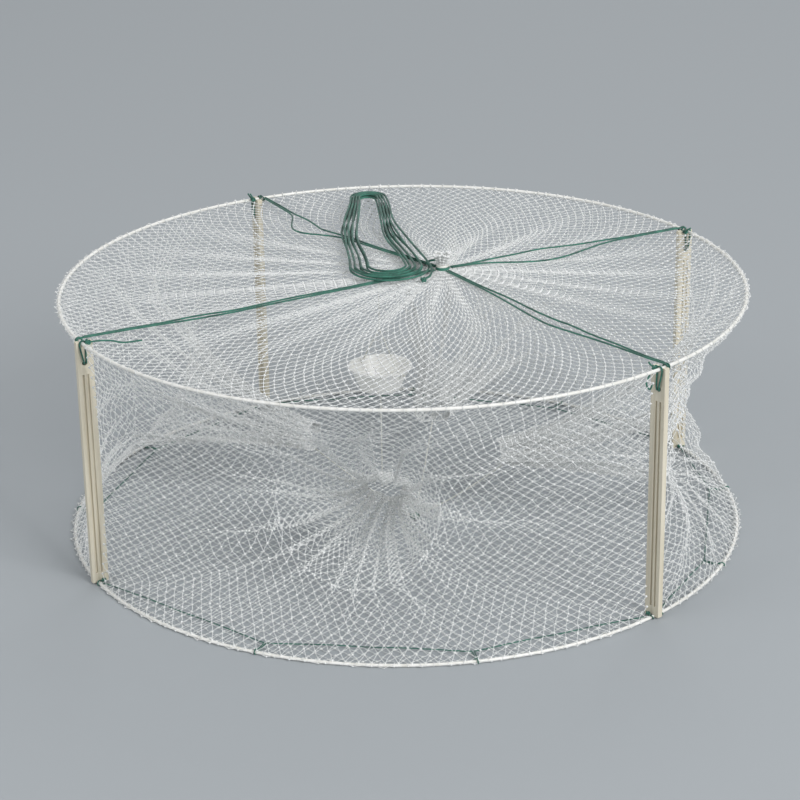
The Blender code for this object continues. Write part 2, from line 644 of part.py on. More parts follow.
def bridle(corner, axis):
    """A doubled cord from the bridle ring out to the top hoop, round its wire beside the upright, and back."""
    wire = on_top_wire(corner)
    out = flat_direction(math.radians(UPRIGHT_ANGLES[corner]))
    gather = Vector((*GATHER_PLACE, TOP_WIRE_Z))
    bend = Vector((*BRIDLE_BENDS[corner], TOP_WIRE_Z))
    along = Vector((-out.y, out.x, 0))
    along *= math.copysign(1, (gather - wire).dot(along))
    radius = BRIDLE_DIAMETER / 2
    over = WIRE_RADIUS + GAP + radius + GAP / 3
    shoulder = over * math.sqrt(0.5) * 1.04
    on_net = TOP_NET_THICKNESS / 2 + GAP + radius
    behind_bar = HOOP_RADIUS - NET_RADIUS + NET_BAR + GAP + 2 * radius

    def spot(inwards, sideways, height):
        return wire - inwards * out + sideways * along + height * UP

    away = (bend - gather).normalized()
    across = Vector((-away.y, away.x, 0))
    across *= math.copysign((BRIDLE_FAR - BRIDLE_NEAR) / 2, across.dot(along))
    start = gather + (BRIDLE_RING_RADIUS + RING_CORD_DIAMETER / 2 + GAP) * away + on_net * UP
    bend += on_net * UP
    near_slack, far_slack, first, last, shares = BRIDLE_SLACK[corner]

    def strand(side, slack, end):
        """One strand from the ring by the bend to its end near the wire, with the slack that swings it out."""
        points = []
        for share in shares:
            straight = start.lerp(bend, 2 * share) if share < 0.5 else bend.lerp(end, 2 * share - 1)
            swing = slack * math.sin(math.pi * min(1, max(0, (share - first) / (last - first))))**2
            beside = across * (1 - max(0, 2 * share - 1))
            points.append(straight + side * (beside + swing * across.normalized()))
        return points

    near = strand(-1, near_slack, spot(2 * behind_bar, BRIDLE_NEAR, on_net))
    far = strand(1, far_slack, spot(2 * behind_bar, BRIDLE_FAR, on_net))
    round_wire = [
        spot(over * 1.2, BRIDLE_NEAR, on_net * 1.15),
        spot(0, BRIDLE_NEAR, over * 1.04),
        spot(-shoulder, BRIDLE_NEAR, shoulder),
        spot(-over, BRIDLE_NEAR, 0),
        spot(-shoulder, BRIDLE_NEAR, -shoulder),
        spot(0, (BRIDLE_NEAR + BRIDLE_FAR) / 2, -over * 1.04),
        spot(over * 1.1, BRIDLE_FAR, -over * 0.9),
        spot(behind_bar, BRIDLE_FAR, 0),
        spot(behind_bar * 1.25, BRIDLE_FAR, on_net),
    ]
    route = near + round_wire + far[::-1]
    tube("bridle_" + corner, route, BRIDLE_DIAMETER, GREEN_CORD, axis)


def gathered_tuft(axis):
    """The gathered netting: a flat foot in the hub of the top netting, a neck and a spread head."""
    half = TOP_NET_THICKNESS / 2
    foot = GATHER_HUB_RADIUS * math.cos(math.pi / TOP_SECTORS) - GAP
    profile = [
        (0, -half), (foot, -half), (foot, half), (TUFT_NECK_RADIUS, half), (TUFT_NECK_RADIUS, TUFT_NECK_HEIGHT),
        (TUFT_TOP_RADIUS, TUFT_HEIGHT), (0, TUFT_HEIGHT - TOP_NET_THICKNESS),
    ]
    turned("gathered_tuft", profile, 12, WHITE_NET, axis, (*GATHER_PLACE, TOP_WIRE_Z))


def tuft_cords(axis):
    """The ring of cord that the bridles and the haul cord are tied to, and the thin draw cord above it."""
    low, high = (*GATHER_PLACE, BRIDLE_RING_Z), (*GATHER_PLACE, DRAW_CORD_Z)
    ring("bridle_ring", BRIDLE_RING_RADIUS, RING_CORD_DIAMETER / 2, CORD_RING_STEPS, GREEN_CORD, axis, low)
    ring("draw_cord", DRAW_CORD_RADIUS, DRAW_CORD_DIAMETER / 2, CORD_RING_STEPS, WHITE_CORD, axis, high)


def hank_point(turns):
    """A point of the hank after some turns, as a loose belt round its two ends, clockwise from above.

    The turns spiral in to the middle turn and out again, a layer higher. They lie further apart in front,
    both runs bow to the left and wave a little, and each layer shifts sideways in front between its ends.
    """
    front, back = Vector(HANK_FRONT), Vector(HANK_BACK)
    behind = (back - front).normalized()
    right = Vector((behind.y, -behind.x))
    lean = math.asin((HANK_FRONT_RADIUS - HANK_BACK_RADIUS) / (back - front).length)
    half = HANK_LOOPS / 2
    inwards = min(turns, HANK_LOOPS - turns)
    step = TURN_STEPS * (turns % 1)

    def on_front(angle):
        reach = HANK_FRONT_RADIUS - HANK_FRONT_PITCH * inwards
        return front + reach * (math.cos(angle) * right + math.sin(angle) * behind)

    def on_back(angle):
        reach = HANK_BACK_RADIUS - HANK_BACK_PITCH * inwards
        return back + reach * (math.cos(angle) * right + math.sin(angle) * behind)

    if step < FRONT_STEPS:
        share = 0
        flat = on_front(lean - (math.pi + 2 * lean) * step / FRONT_STEPS)
    elif step < FRONT_STEPS + RUN_STEPS:
        share = (step - FRONT_STEPS) / RUN_STEPS
        flat = on_front(math.pi - lean).lerp(on_back(math.pi - lean), share)
    elif step < TURN_STEPS - RUN_STEPS:
        share = 1
        turned_by = (step - FRONT_STEPS - RUN_STEPS) / BACK_STEPS
        flat = on_back(math.pi - lean - (math.pi - 2 * lean) * turned_by)
    else:
        share = (TURN_STEPS - step) / RUN_STEPS
        flat = on_front(lean).lerp(on_back(lean), share)
    wave = HANK_WAVE * math.sin(2.6 * math.pi * share + 0.6 * turns) - HANK_BOW
    flat += math.sin(math.pi * share)**2 * wave * right
    way = Vector(HANK_SHIFT_DOWN if turns < half else HANK_SHIFT_UP)
    flat += (1 - share) * HANK_SHIFT * math.sin(math.pi * (turns % half) / half) * way
    climbed = min(1, max(0, (turns - half) * TURN_STEPS / RUN_STEPS + 1))
    return Vector((*flat, HANK_Z + HANK_LAYER_PITCH * climbed))


def end_knot_entry():
    """The middle of the end knot at the height where the cord enters it, and the way the cord comes from."""
    middle = Vector((*END_KNOT_PLACE, TOP_NET_TOP + GAP + 0.47 * END_KNOT_HEIGHT))
    towards = Vector((*TAIL_BENDS[-1], middle.z)) - middle
    return middle, towards.normalized()


def hank_route():
    """The haul cord's turns, and the tail that leaves them down to the end knot."""
    route = [hank_point(k / TURN_STEPS) for k in range(TURN_STEPS * HANK_LOOPS + 1)]
    leaving = route[-1] + 4 * HAUL_DIAMETER * (route[-1] - route[-2]).normalized()
    middle, towards = end_knot_entry()
    end = middle + (END_KNOT_RADIUS * math.cos(math.pi / 10) + GAP) * towards
    drop = leaving.z - middle.z
    bends = [Vector((x, y, middle.z + drop * share)) for (x, y), share in zip(TAIL_BENDS, (0.55, 0.12))]
    return route + smooth_route([leaving, *bends, end + 1.5 * HAUL_DIAMETER * towards], 3) + [end]


def least_gap(points, diameter):
    """The least gap of a tube to itself, from points spread along it, leaving out its own neighbourhood."""
    spread = []
    for start, end in zip(points, points[1:]):
        count = max(1, round((end - start).length / diameter))
        spread += [start.lerp(end, k / count) for k in range(count)]
    spots = np.array([tuple(p) for p in spread])
    travelled = np.concatenate([[0], np.cumsum(np.linalg.norm(np.diff(spots, axis=0), axis=1))])
    least = math.inf
    for here, way in zip(spots, travelled):
        apart = np.linalg.norm(spots - here, axis=1)
        least = min(least, apart[np.abs(travelled - way) > 10 * diameter].min(initial=math.inf))
    return least - diameter


def haul_cord(axis):
    """The lead from the bridle ring, the hank and the knot at the cord's end."""
    route = hank_route()
    run_in = (hank_point(HANK_LOOPS) - hank_point(HANK_LOOPS - 1 / TURN_STEPS)).normalized()
    gather = Vector((*GATHER_PLACE, BRIDLE_RING_Z))
    reach = BRIDLE_RING_RADIUS + RING_CORD_DIAMETER / 2 + GAP
    climb = HANK_Z - BRIDLE_RING_Z
    bends = [gather + Vector((x, y, climb * share)) for (x, y), share in zip(LEAD_BENDS, (0.15, 1, 1, 1))]
    end = route[0] - GAP * run_in
    lead = smooth_route([gather + Vector((0, reach, 0)), *bends, end - HAUL_DIAMETER * run_in], 3) + [end]
    tube("haul_cord_lead", lead, HAUL_DIAMETER, GREEN_CORD, axis, resolution=2)
    tube("haul_cord_hank", route, HAUL_DIAMETER, GREEN_CORD, axis)
    towards = end_knot_entry()[1]
    turn = math.atan2(towards.y, towards.x) + math.pi / 10
    at = (*END_KNOT_PLACE, TOP_NET_TOP + GAP)
    knot("haul_cord_end_knot", END_KNOT_RADIUS, END_KNOT_HEIGHT, axis, at, turn)
    length = sum((b - a).length for a, b in zip(route, route[1:]))
    gap = least_gap(route, HAUL_DIAMETER)
    print(f"haul_cord_hank: {length:.3f} m long, least gap to itself {gap * 1000:.2f} mm")


def bait_cup(axis):
    """A thin tapered cup with a lip, two rim holes for its bail and a hole in the middle of its floor."""
    lip_z = CUP_HEIGHT - CUP_LIP_HEIGHT
    profile = [
        (0, 0), (CUP_BOTTOM_RADIUS, 0), (CUP_BOTTOM_RADIUS + CUP_SLOPE * lip_z, lip_z), (CUP_RIM_RADIUS, lip_z),
        (CUP_RIM_RADIUS, CUP_HEIGHT), (CUP_WALL_RADIUS - CUP_WALL, CUP_HEIGHT),
        (CUP_BOTTOM_RADIUS + (CUP_SLOPE - 1) * CUP_WALL, CUP_WALL), (0, CUP_WALL),
    ]
    at = Vector((*CUP_PLACE, CUP_BOTTOM_Z))
    cup = turned("bait_cup", profile, CUP_SIDES, WHITE_PLASTIC, axis, at)
    bm = bmesh.new()
    radius = CUP_HOLE_DIAMETER / 2
    rim_holes = Matrix.Translation(CUP_HOLE_HEIGHT * UP) @ Matrix.Rotation(math.pi / 2, 4, "Y")
    add_rod(bm, radius, 3 * CUP_RIM_RADIUS, rim_holes)
    add_rod(bm, radius, 4 * CUP_WALL, Matrix.Identity(4))
    cut_with(cup, cutter("bait_cup_cutter", bm, at, math.radians(BAIL_ANGLE)))


def bait_line_stopper(axis):
    """The knot in the cup, and the stub of line that goes down through the floor's hole."""
    stub = BAIT_LINE_DIAMETER / 2
    foot = CUP_WALL + GAP
    top = foot + STOPPER_HEIGHT
    profile = [
        (0, 0), (stub, 0), (stub, foot), (0.8 * STOPPER_RADIUS, foot),
        (STOPPER_RADIUS, foot + STOPPER_HEIGHT / 3), (0.7 * STOPPER_RADIUS, top), (0, top),
    ]
    turned("bait_line_stopper", profile, 10, WHITE_CORD, axis, (*CUP_PLACE, CUP_BOTTOM_Z))


def bait_lines(lower_axis, upper_axis):
    """The lower line, the V of cord through the cup's rim holes, and the upper line above it."""
    radius = BAIT_LINE_DIAMETER / 2
    foot = Vector((*CUP_PLACE, BAIT_FOOT_Z))
    tube(
        "bait_line_lower", [foot - radius * UP, foot + (LEAN_LENGTH + radius) * UP],
        BAIT_LINE_DIAMETER, WHITE_CORD, lower_axis,
    )

    holes = Vector((*CUP_PLACE, CUP_HOLE_Z))
    along = flat_direction(math.radians(BAIL_ANGLE))
    wall = CUP_WALL_RADIUS - CUP_SLOPE * CUP_HOLE_DROP
    inside = wall - CUP_WALL - GAP - BAIT_LINE_DIAMETER
    outside = CUP_RIM_RADIUS + 2 * BAIT_LINE_DIAMETER
    leg = [(outside, 0), (inside, 0), (inside - radius, radius), (2 * radius, BAIL_HEIGHT - 2 * radius)]
    bail = [holes + x * along + z * UP for x, z in leg] + [holes + BAIL_HEIGHT * UP]
    bail += [holes - x * along + z * UP for x, z in leg[::-1]]
    tube("bait_bail", bail, BAIT_LINE_DIAMETER, WHITE_CORD, upper_axis)

    low = holes + (BAIL_HEIGHT + radius + GAP) * UP
    tube(
        "bait_line_upper", [low, holes + (LEAN_LENGTH + radius) * UP],
        BAIT_LINE_DIAMETER, WHITE_CORD, upper_axis,
    )


def build():
    """Put the trap together, from the bottom hoop up to the haul cord."""
    remove_all()
    hoop("bottom_hoop", BOTTOM_WIRE_Z)
    bottom_net()
    for panel in PANELS:
        side_net(panel)
        funnel(panel)
        funnel_tie(panel)
        bottom_lacing(panel)
    funnel_tie_knot()

    lower_axis = axis_at("bait_line_lower_axis", (*CUP_PLACE, BAIT_FOOT_Z))
    cup_axis = axis_at("bait_cup_axis", (*CUP_PLACE, CUP_BOTTOM_Z - CUP_PIVOT_DROP), lower_axis)
    upper_axis = axis_at("bait_line_upper_axis", (*CUP_PLACE, CUP_HOLE_Z), cup_axis)
    top_axis = axis_at("top_axis", (*CUP_PLACE, BAIT_HEAD_Z), upper_axis)
    bait_cup(cup_axis)
    bait_line_stopper(cup_axis)
    bait_lines(lower_axis, upper_axis)

    hoop("top_hoop", TOP_WIRE_Z, top_axis)
    top_net(top_axis)
    gathered_tuft(top_axis)
    tuft_cords(top_axis)
    for corner in UPRIGHT_ANGLES:
        swing = axis_at("upright_axis_" + corner, on_top_wire(corner), top_axis)
        upright(corner, swing)
        lashing(corner, swing)
        bridle(corner, top_axis)
    haul_cord(top_axis)


build()
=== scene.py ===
"""The looks of a folding fish trap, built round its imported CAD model.

Metres, +Z up. The origin is on the floor under the middle of the bottom hoop, and -Y faces the front funnel.
"""
import math

import bpy
import numpy as np
from mathutils import Matrix, Vector


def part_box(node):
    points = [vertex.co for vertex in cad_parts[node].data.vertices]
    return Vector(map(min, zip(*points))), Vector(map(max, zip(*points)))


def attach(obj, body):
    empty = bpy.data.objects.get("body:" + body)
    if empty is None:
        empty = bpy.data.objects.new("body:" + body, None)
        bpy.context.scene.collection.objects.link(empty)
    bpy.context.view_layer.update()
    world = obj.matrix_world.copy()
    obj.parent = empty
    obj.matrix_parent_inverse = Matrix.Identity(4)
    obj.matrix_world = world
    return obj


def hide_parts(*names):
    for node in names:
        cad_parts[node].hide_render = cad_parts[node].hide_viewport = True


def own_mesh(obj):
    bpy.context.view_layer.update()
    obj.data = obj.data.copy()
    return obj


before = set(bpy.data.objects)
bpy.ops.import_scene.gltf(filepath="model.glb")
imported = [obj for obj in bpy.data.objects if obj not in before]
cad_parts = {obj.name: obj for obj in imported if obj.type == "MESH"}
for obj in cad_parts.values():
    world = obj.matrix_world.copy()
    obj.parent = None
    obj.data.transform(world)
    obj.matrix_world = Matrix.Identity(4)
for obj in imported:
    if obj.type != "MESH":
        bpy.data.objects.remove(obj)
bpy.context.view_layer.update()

# The floor, the lamps and the camera, which looks down at the trap from its front as the photograph does.
# The floor is a plain matt board, in a tone that white netting stands out from.
CAMERA_PLACE = (-0.0038, -1.912, 0.8695)
CAMERA_ELEVATION = 21.7
CAMERA_ROLL = -0.92
CAMERA_LENS = 103.2
FLOOR_HALF_SIZE = 6.0
FLOOR_DROP = 0.0003
FLOOR_COLOUR = "#A9AEB2"
SKY_COLOUR = "#DADDDF"
SKY_STRENGTH = 0.46


def linear(colour):
    """Linear light from an sRGB hex colour.

    A channel c from 0 to 1 becomes c / 12.92 up to 0.04045, and ((c + 0.055) / 1.055) ** 2.4 above it.
    """
    parts = [int(colour[k:k + 2], 16) / 255 for k in (1, 3, 5)]
    return (*[c / 12.92 if c <= 0.04045 else ((c + 0.055) / 1.055) ** 2.4 for c in parts], 1.0)


def add_node(tree, kind, inputs=(), **settings):
    """Add a shader node with its settings and its inputs, each socket's value or another node's output."""
    made = tree.nodes.new("ShaderNode" + kind)
    for name, value in settings.items():
        setattr(made, name, value)
    for name, value in dict(inputs).items():
        if isinstance(value, bpy.types.NodeSocket):
            tree.links.new(value, made.inputs[name])
        else:
            made.inputs[name].default_value = value
    return made


def new_material(name, **shader_inputs):
    """A material with one Principled shader, whose sockets are named with underscores for spaces."""
    made = bpy.data.materials.new(name)
    made.use_nodes = True
    tree = made.node_tree
    tree.nodes.clear()
    sockets = {key.replace("_", " "): value for key, value in shader_inputs.items()}
    shader = add_node(tree, "BsdfPrincipled", sockets)
    add_node(tree, "OutputMaterial", {"Surface": shader.outputs["BSDF"]})
    return made, tree, shader


def colour_by(tree, shader, value, dark, light, dark_at=0.0, light_at=1.0):
    """Colour a shader by a value, from dark where it is dark_at to light where it is light_at."""
    tone = add_node(tree, "ValToRGB", {"Fac": value})
    for end, at, colour in zip(tone.color_ramp.elements, (dark_at, light_at), (dark, light)):
        end.position = at
        end.color = linear(colour)
    tree.links.new(tone.outputs["Color"], shader.inputs["Base Color"])


def bump_by(tree, shader, height, strength, distance):
    """Bump a shader's surface by a height."""
    bump = add_node(tree, "Bump", {"Height": height, "Strength": strength, "Distance": distance})
    tree.links.new(bump.outputs["Normal"], shader.inputs["Normal"])


def area_lamp(name, place, target, size, power):
    """A square lamp at a place, turned to a target."""
    lamp = bpy.data.lights.new(name, "AREA")
    lamp.size = size
    lamp.energy = power
    thing = bpy.data.objects.new(name, lamp)
    thing.location = place
    thing.rotation_euler = (Vector(target) - Vector(place)).to_track_quat("-Z", "Y").to_euler()
    bpy.context.scene.collection.objects.link(thing)


camera = bpy.data.objects.new("camera", bpy.data.cameras.new("camera"))
camera.data.lens = CAMERA_LENS
camera.data.sensor_width = 36.0
camera.data.clip_end = 50.0
camera.matrix_world = (
    Matrix.Translation(CAMERA_PLACE)
    @ Matrix.Rotation(math.radians(90 - CAMERA_ELEVATION), 4, "X")
    @ Matrix.Rotation(math.radians(CAMERA_ROLL), 4, "Z")
)
bpy.context.scene.collection.objects.link(camera)
bpy.context.scene.camera = camera
bpy.context.scene.view_settings.view_transform = "Standard"

area_lamp("key_lamp", (3.5, -3.8, 3.3), (0, 0, 0.1), 2.9, 270.0)
area_lamp("fill_lamp", (-4.0, -2.2, 3.2), (0, 0, 0.1), 3.2, 76.0)
area_lamp("back_lamp", (0.8, 4.3, 4.2), (0, 0, 0.1), 3.2, 80.0)

world = bpy.data.worlds.new("pale_sky")
bpy.context.scene.world = world
world.use_nodes = True
world.node_tree.nodes.clear()
sky = add_node(world.node_tree, "Background", {"Color": linear(SKY_COLOUR), "Strength": SKY_STRENGTH})
add_node(world.node_tree, "OutputWorld", {"Surface": sky.outputs["Background"]})

board, _, _ = new_material("matt_board", Base_Color=linear(FLOOR_COLOUR), Roughness=0.95)
floor = bpy.data.meshes.new("floor")
signs = ((-1, -1), (1, -1), (1, 1), (-1, 1))
corners = [(x * FLOOR_HALF_SIZE, y * FLOOR_HALF_SIZE, -FLOOR_DROP) for x, y in signs]
floor.from_pydata(corners, [], [(0, 1, 2, 3)])
floor.materials.append(board)
floor = bpy.data.objects.new("floor", floor)
bpy.context.scene.collection.objects.link(floor)


# The two hoops: spring steel wire in a white PVC coating, bent round and joined at its ends.
# The coating is extruded, so it is smooth with a soft gloss and a faint waviness along the wire.
HOOP_LOW, HOOP_HIGH = (np.array(corner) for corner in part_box("top_hoop"))
BOTTOM_HOOP_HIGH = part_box("bottom_hoop")[1][2]
WIRE_RADIUS = 0.0014
HOOP_RADIUS = (HOOP_HIGH[0] - HOOP_LOW[0]) / 2 - WIRE_RADIUS
TOP_WIRE_Z = (HOOP_LOW[2] + HOOP_HIGH[2]) / 2
BOTTOM_WIRE_Z = BOTTOM_HOOP_HIGH / 2
HOOP_STEPS = 360
WIRE_SIDES = 14
GAP = 0.0003


def polar(radius, angle, height):
    """Points at a radius and an angle in radians from +X, at a height, as an array of x, y, z."""
    radius, angle, height = np.broadcast_arrays(radius, angle, height)
    return np.stack([radius * np.cos(angle), radius * np.sin(angle), height], axis=-1)


def unit(vectors):
    """Vectors made one long, along the last axis."""
    return vectors / np.linalg.norm(vectors, axis=-1, keepdims=True)


def box_middle(node):
    """The middle of a CAD node's box."""
    return np.mean(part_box(node), axis=0)


def add_piece(name, shape, finish, body, replaced=()):
    """Link a smooth mesh piece, of a shape of points, faces and UVs, or of points and faces.

    The faces are a list of arrays, each of one corner count.
    """
    points, faces, *uvs = shape
    corners = np.concatenate([np.ravel(part) for part in faces])
    counts = np.concatenate([np.full(len(part), part.shape[1]) for part in faces])
    mesh = bpy.data.meshes.new(name)
    mesh.vertices.add(len(points))
    mesh.vertices.foreach_set("co", np.ravel(points).astype(np.float32))
    mesh.loops.add(len(corners))
    mesh.loops.foreach_set("vertex_index", corners.astype(np.int32))
    mesh.polygons.add(len(counts))
    mesh.polygons.foreach_set("loop_start", (np.cumsum(counts) - counts).astype(np.int32))
    for uv in uvs:
        mesh.uv_layers.new(name="UVMap").data.foreach_set("uv", np.ravel(uv).astype(np.float32))
    mesh.update(calc_edges=True)
    mesh.validate()
    mesh.shade_smooth()
    mesh.materials.append(finish)
    piece = bpy.data.objects.new(name, mesh)
    bpy.context.scene.collection.objects.link(piece)
    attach(piece, body)
    if replaced:
        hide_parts(*replaced)
    return piece


def tube(path, radius, sides, reference, closed=False):
    """A round tube along a path as points, faces and UVs, u in metres along it and v from 0 to 1 round it.

    The ring at a path point is point + radius * (cos(a) x + sin(a) y), where t is the direction of the path,
    x is t cross reference made one long, and y is x cross t. An open tube gets a fan at each end.
    """
    path = np.asarray(path, dtype=float)
    count = len(path)
    if closed:
        ahead = np.roll(path, -1, axis=0) - np.roll(path, 1, axis=0)
    else:
        ahead = np.gradient(path, axis=0)
    ahead = unit(ahead)
    across = unit(np.cross(ahead, reference))
    upward = np.cross(across, ahead)
    turn = 2 * np.pi * np.arange(sides)[:, None] / sides
    radius = np.broadcast_to(radius, count)[:, None, None]
    rings = path[:, None] + radius * (np.cos(turn) * across[:, None] + np.sin(turn) * upward[:, None])
    points = rings.reshape(-1, 3)
    spans = count if closed else count - 1
    k, j = np.meshgrid(np.arange(spans), np.arange(sides), indexing="ij")
    k, j = k.ravel(), j.ravel()
    k_next, j_next = (k + 1) % count, (j + 1) % sides
    here, there = k * sides, k_next * sides
    quads = np.stack([here + j, here + j_next, there + j_next, there + j], axis=1)
    steps = np.linalg.norm(np.diff(path, axis=0, append=path[:1]), axis=1)
    travelled = np.concatenate([[0], np.cumsum(steps)])
    u_pairs = (travelled[k], travelled[k], travelled[k + 1], travelled[k + 1])
    v_pairs = (j / sides, (j + 1) / sides, (j + 1) / sides, j / sides)
    uv = np.stack([np.stack(u_pairs, axis=1), np.stack(v_pairs, axis=1)], axis=2).reshape(-1, 2)
    faces = [quads]
    if not closed:
        points = np.concatenate([points, path[:1], path[-1:]])
        side = np.arange(sides)
        after = (side + 1) % sides
        last = (count - 1) * sides
        start_fan = np.stack([after, side, np.full(sides, len(points) - 2)], axis=1)
        end_fan = np.stack([last + side, last + after, np.full(sides, len(points) - 1)], axis=1)
        faces.append(np.concatenate([start_fan, end_fan]))
        ends = np.repeat([[0, 0], [travelled[-2], 0]], 3 * sides, axis=0)
        uv = np.concatenate([uv, ends])
    return points, faces, uv


def joined(shapes):
    """Several shapes as one, with the faces sorted by their corner counts. All have UVs, or none has."""
    offset = 0
    sorted_faces = {}
    sorted_uv = {}
    for points, faces, *uvs in shapes:
        start = 0
        for part in faces:
            corner_count = part.shape[1]
            sorted_faces.setdefault(corner_count, []).append(part + offset)
            sorted_uv.setdefault(corner_count, []).extend(uv[start:start + part.size] for uv in uvs)
            start += part.size
        offset += len(points)
    points = np.concatenate([shape[0] for shape in shapes])
    faces = [np.concatenate(parts) for parts in sorted_faces.values()]
    uvs = [part for parts in sorted_uv.values() for part in parts]
    return (points, faces, np.concatenate(uvs)) if uvs else (points, faces)


coated_wire, tree, shader = new_material(
    "white_pvc_coated_wire", Base_Color=linear("#F2F1EC"), Roughness=0.34, IOR=1.53,
)
# The waves along the coating are about 6 mm long.
place = add_node(tree, "TexCoord")
waviness = add_node(tree, "TexNoise", {"Vector": place.outputs["Object"], "Scale": 160.0, "Detail": 3.0})
colour_by(tree, shader, waviness.outputs["Fac"], "#E3E2DB", "#F6F5F1", 0.30, 0.62)
bump_by(tree, shader, waviness.outputs["Fac"], 0.25, 0.0003)

hoop_turn = 2 * np.pi * np.arange(HOOP_STEPS) / HOOP_STEPS
for name, body, height in (("bottom_hoop", "base", BOTTOM_WIRE_Z), ("top_hoop", "top", TOP_WIRE_Z)):
    wire = tube(polar(HOOP_RADIUS, hoop_turn, height), WIRE_RADIUS, WIRE_SIDES, (0, 0, 1), closed=True)
    add_piece(name + "_wire", wire, coated_wire, body, [name])


# The netting of the whole trap: white knotted nylon twine in diamond meshes about 11 mm wide.
# Each bar of a mesh is a thin, slack strand between two knots, and the meshes run on from net to net.
MESHES_ROUND = 176
BAR_LENGTH = 0.0082
TWINE_RADIUS = 0.00031
TWINE_SLACK = 0.0007
TIP_SHARES = (0.06, 0.94)
KNOT_RADIUS = 0.00122
KNOT_SPREAD = (0.85, 1.15)
MESH_WIDTH = 2 * math.pi * HOOP_RADIUS / MESHES_ROUND
MESH_HEIGHT = 2 * math.sqrt(BAR_LENGTH**2 - (MESH_WIDTH / 2)**2)
random = np.random.default_rng(11)


def knot_lattice(columns, rows, closed):
    """Every second crossing of a grid of half meshes, as column and row numbers, and the bars between them.

    A knot's bars run to the crossings half a mesh to its left and to its right in the next row.
    """
    i, j = np.meshgrid(np.arange(columns + (0 if closed else 1)), np.arange(rows + 1), indexing="ij")
    even = (i + j) % 2 == 0
    number = np.full(i.shape, -1)
    number[even] = np.arange(np.count_nonzero(even))
    i, j = i[even], j[even]
    bars = []
    for side in (-1, 1):
        other = (i + side) % columns if closed else i + side
        real = (other >= 0) & (other < number.shape[0]) & (j < rows)
        bars.append(np.stack([number[i[real], j[real]], number[other[real], j[real] + 1]], axis=1))
    return i, j, np.concatenate(bars)


def twine_bars(starts, ends, radius, slack=0.0):
    """Closed three-sided strands from starts to ends, as points and faces, of three rings and two tips.

    A ring's corner at turn a is middle + radius * (cos(a) x + sin(a) y), across the strand's direction.
    The middle ring lies aside by chance, by up to slack each way, so the strand bends there.
    """
    ahead = unit(ends - starts)
    steep = np.abs(ahead[:, 2:]) > 0.8
    across = unit(np.cross(ahead, np.where(steep, (1.0, 0.0, 0.0), (0.0, 0.0, 1.0))))
    upward = np.cross(across, ahead)
    turn = 2 * np.pi * np.arange(3)[:, None] / 3
    ring = radius * (np.cos(turn) * across[:, None] + np.sin(turn) * upward[:, None])
    near, far = ((starts + share * (ends - starts))[:, None] + ring for share in TIP_SHARES)
    bent = ((starts + ends) / 2 + random.uniform(-slack, slack, starts.shape))[:, None] + ring
    points = np.concatenate([starts[:, None], near, bent, far, ends[:, None]], axis=1)
    sides = [(j, (j + 1) % 3) for j in range(3)]
    quads = [[k + j, k + after, k + 3 + after, k + 3 + j] for k in (1, 4) for j, after in sides]
    fans = [[0, 1 + after, 1 + j] for j, after in sides] + [[10, 7 + j, 7 + after] for j, after in sides]
    first = 11 * np.arange(len(starts))[:, None, None]
    faces = [(first + np.array(quads)).reshape(-1, 4), (first + np.array(fans)).reshape(-1, 3)]
    return points.reshape(-1, 3), faces


def twine_knots(middles, radius):
    """Small eight-sided knots, as points and faces: a corner at radius along each of six directions."""
    spread = radius * random.uniform(*KNOT_SPREAD, (len(middles), 1, 1))
    corners = np.array([(1, 0, 0), (0, 1, 0), (-1, 0, 0), (0, -1, 0), (0, 0, 1), (0, 0, -1)])
    points = middles[:, None] + spread * corners
    one = [[j, (j + 1) % 4, 4] for j in range(4)] + [[(j + 1) % 4, j, 5] for j in range(4)]
    first = 6 * np.arange(len(middles))[:, None, None]
    return points.reshape(-1, 3), [(first + np.array(one)).reshape(-1, 3)]


def uneven(knots, size):
    """Knots moved by chance by up to a size each way, as hand-set netting lies."""
    return knots + random.uniform(-size, size, knots.shape)


def netting(name, knots, bars, body, replaced):
    """A piece of netting: a strand for each bar, and a knot at each of its ends."""
    strands = twine_bars(knots[bars[:, 0]], knots[bars[:, 1]], TWINE_RADIUS, TWINE_SLACK)
    tied = twine_knots(knots[np.unique(bars)], KNOT_RADIUS)
    return add_piece(name, joined([strands, tied]), nylon_twine, body, replaced)


# Spun nylon is bright, with a soft gloss, and light passes a little way through its thin strands.
# Its fibres are too fine to show, so its tone changes about every 1.5 mm.
nylon_twine, tree, shader = new_material(
    "white_nylon_twine", Base_Color=linear("#F4F5F3"), Roughness=0.5, IOR=1.53, Sheen_Weight=0.15,
    Subsurface_Weight=0.5, Subsurface_Radius=(0.002, 0.002, 0.002), Subsurface_Scale=0.5,
)
place = add_node(tree, "TexCoord")
fibre = add_node(tree, "TexNoise", {"Vector": place.outputs["Object"], "Scale": 700.0, "Detail": 2.0})
colour_by(tree, shader, fibre.outputs["Fac"], "#E2E5E4", "#FAFBFA", 0.32, 0.60)


# The bottom net: a flat piece of the netting inside the bottom hoop, its meshes square to the trap's front.
# It is tied down at the bait line's foot and at the funnels' knot, which draw the nearest meshes in.
BOTTOM_NET_LIFT = 0.0009
BOTTOM_NET_Z = box_middle("bottom_net")[2] + BOTTOM_NET_LIFT
# Its columns wave sideways on their way back, and its rows wave back on their way across, in radians a metre.
BOTTOM_WAVE = 0.0012
BOTTOM_WAVES_ASIDE = 60
BOTTOM_WAVES_BACK = 47
FLAT_UNEVENNESS = 0.0004
NET_RADIUS = HOOP_RADIUS - WIRE_RADIUS - GAP
CUP_PLACE = box_middle("bait_cup")[:2]
TIE_KNOT_PLACE = box_middle("funnel_tie_knot")[:2]
DRAW_REACH = 0.075
DRAW_SHARE = 0.6


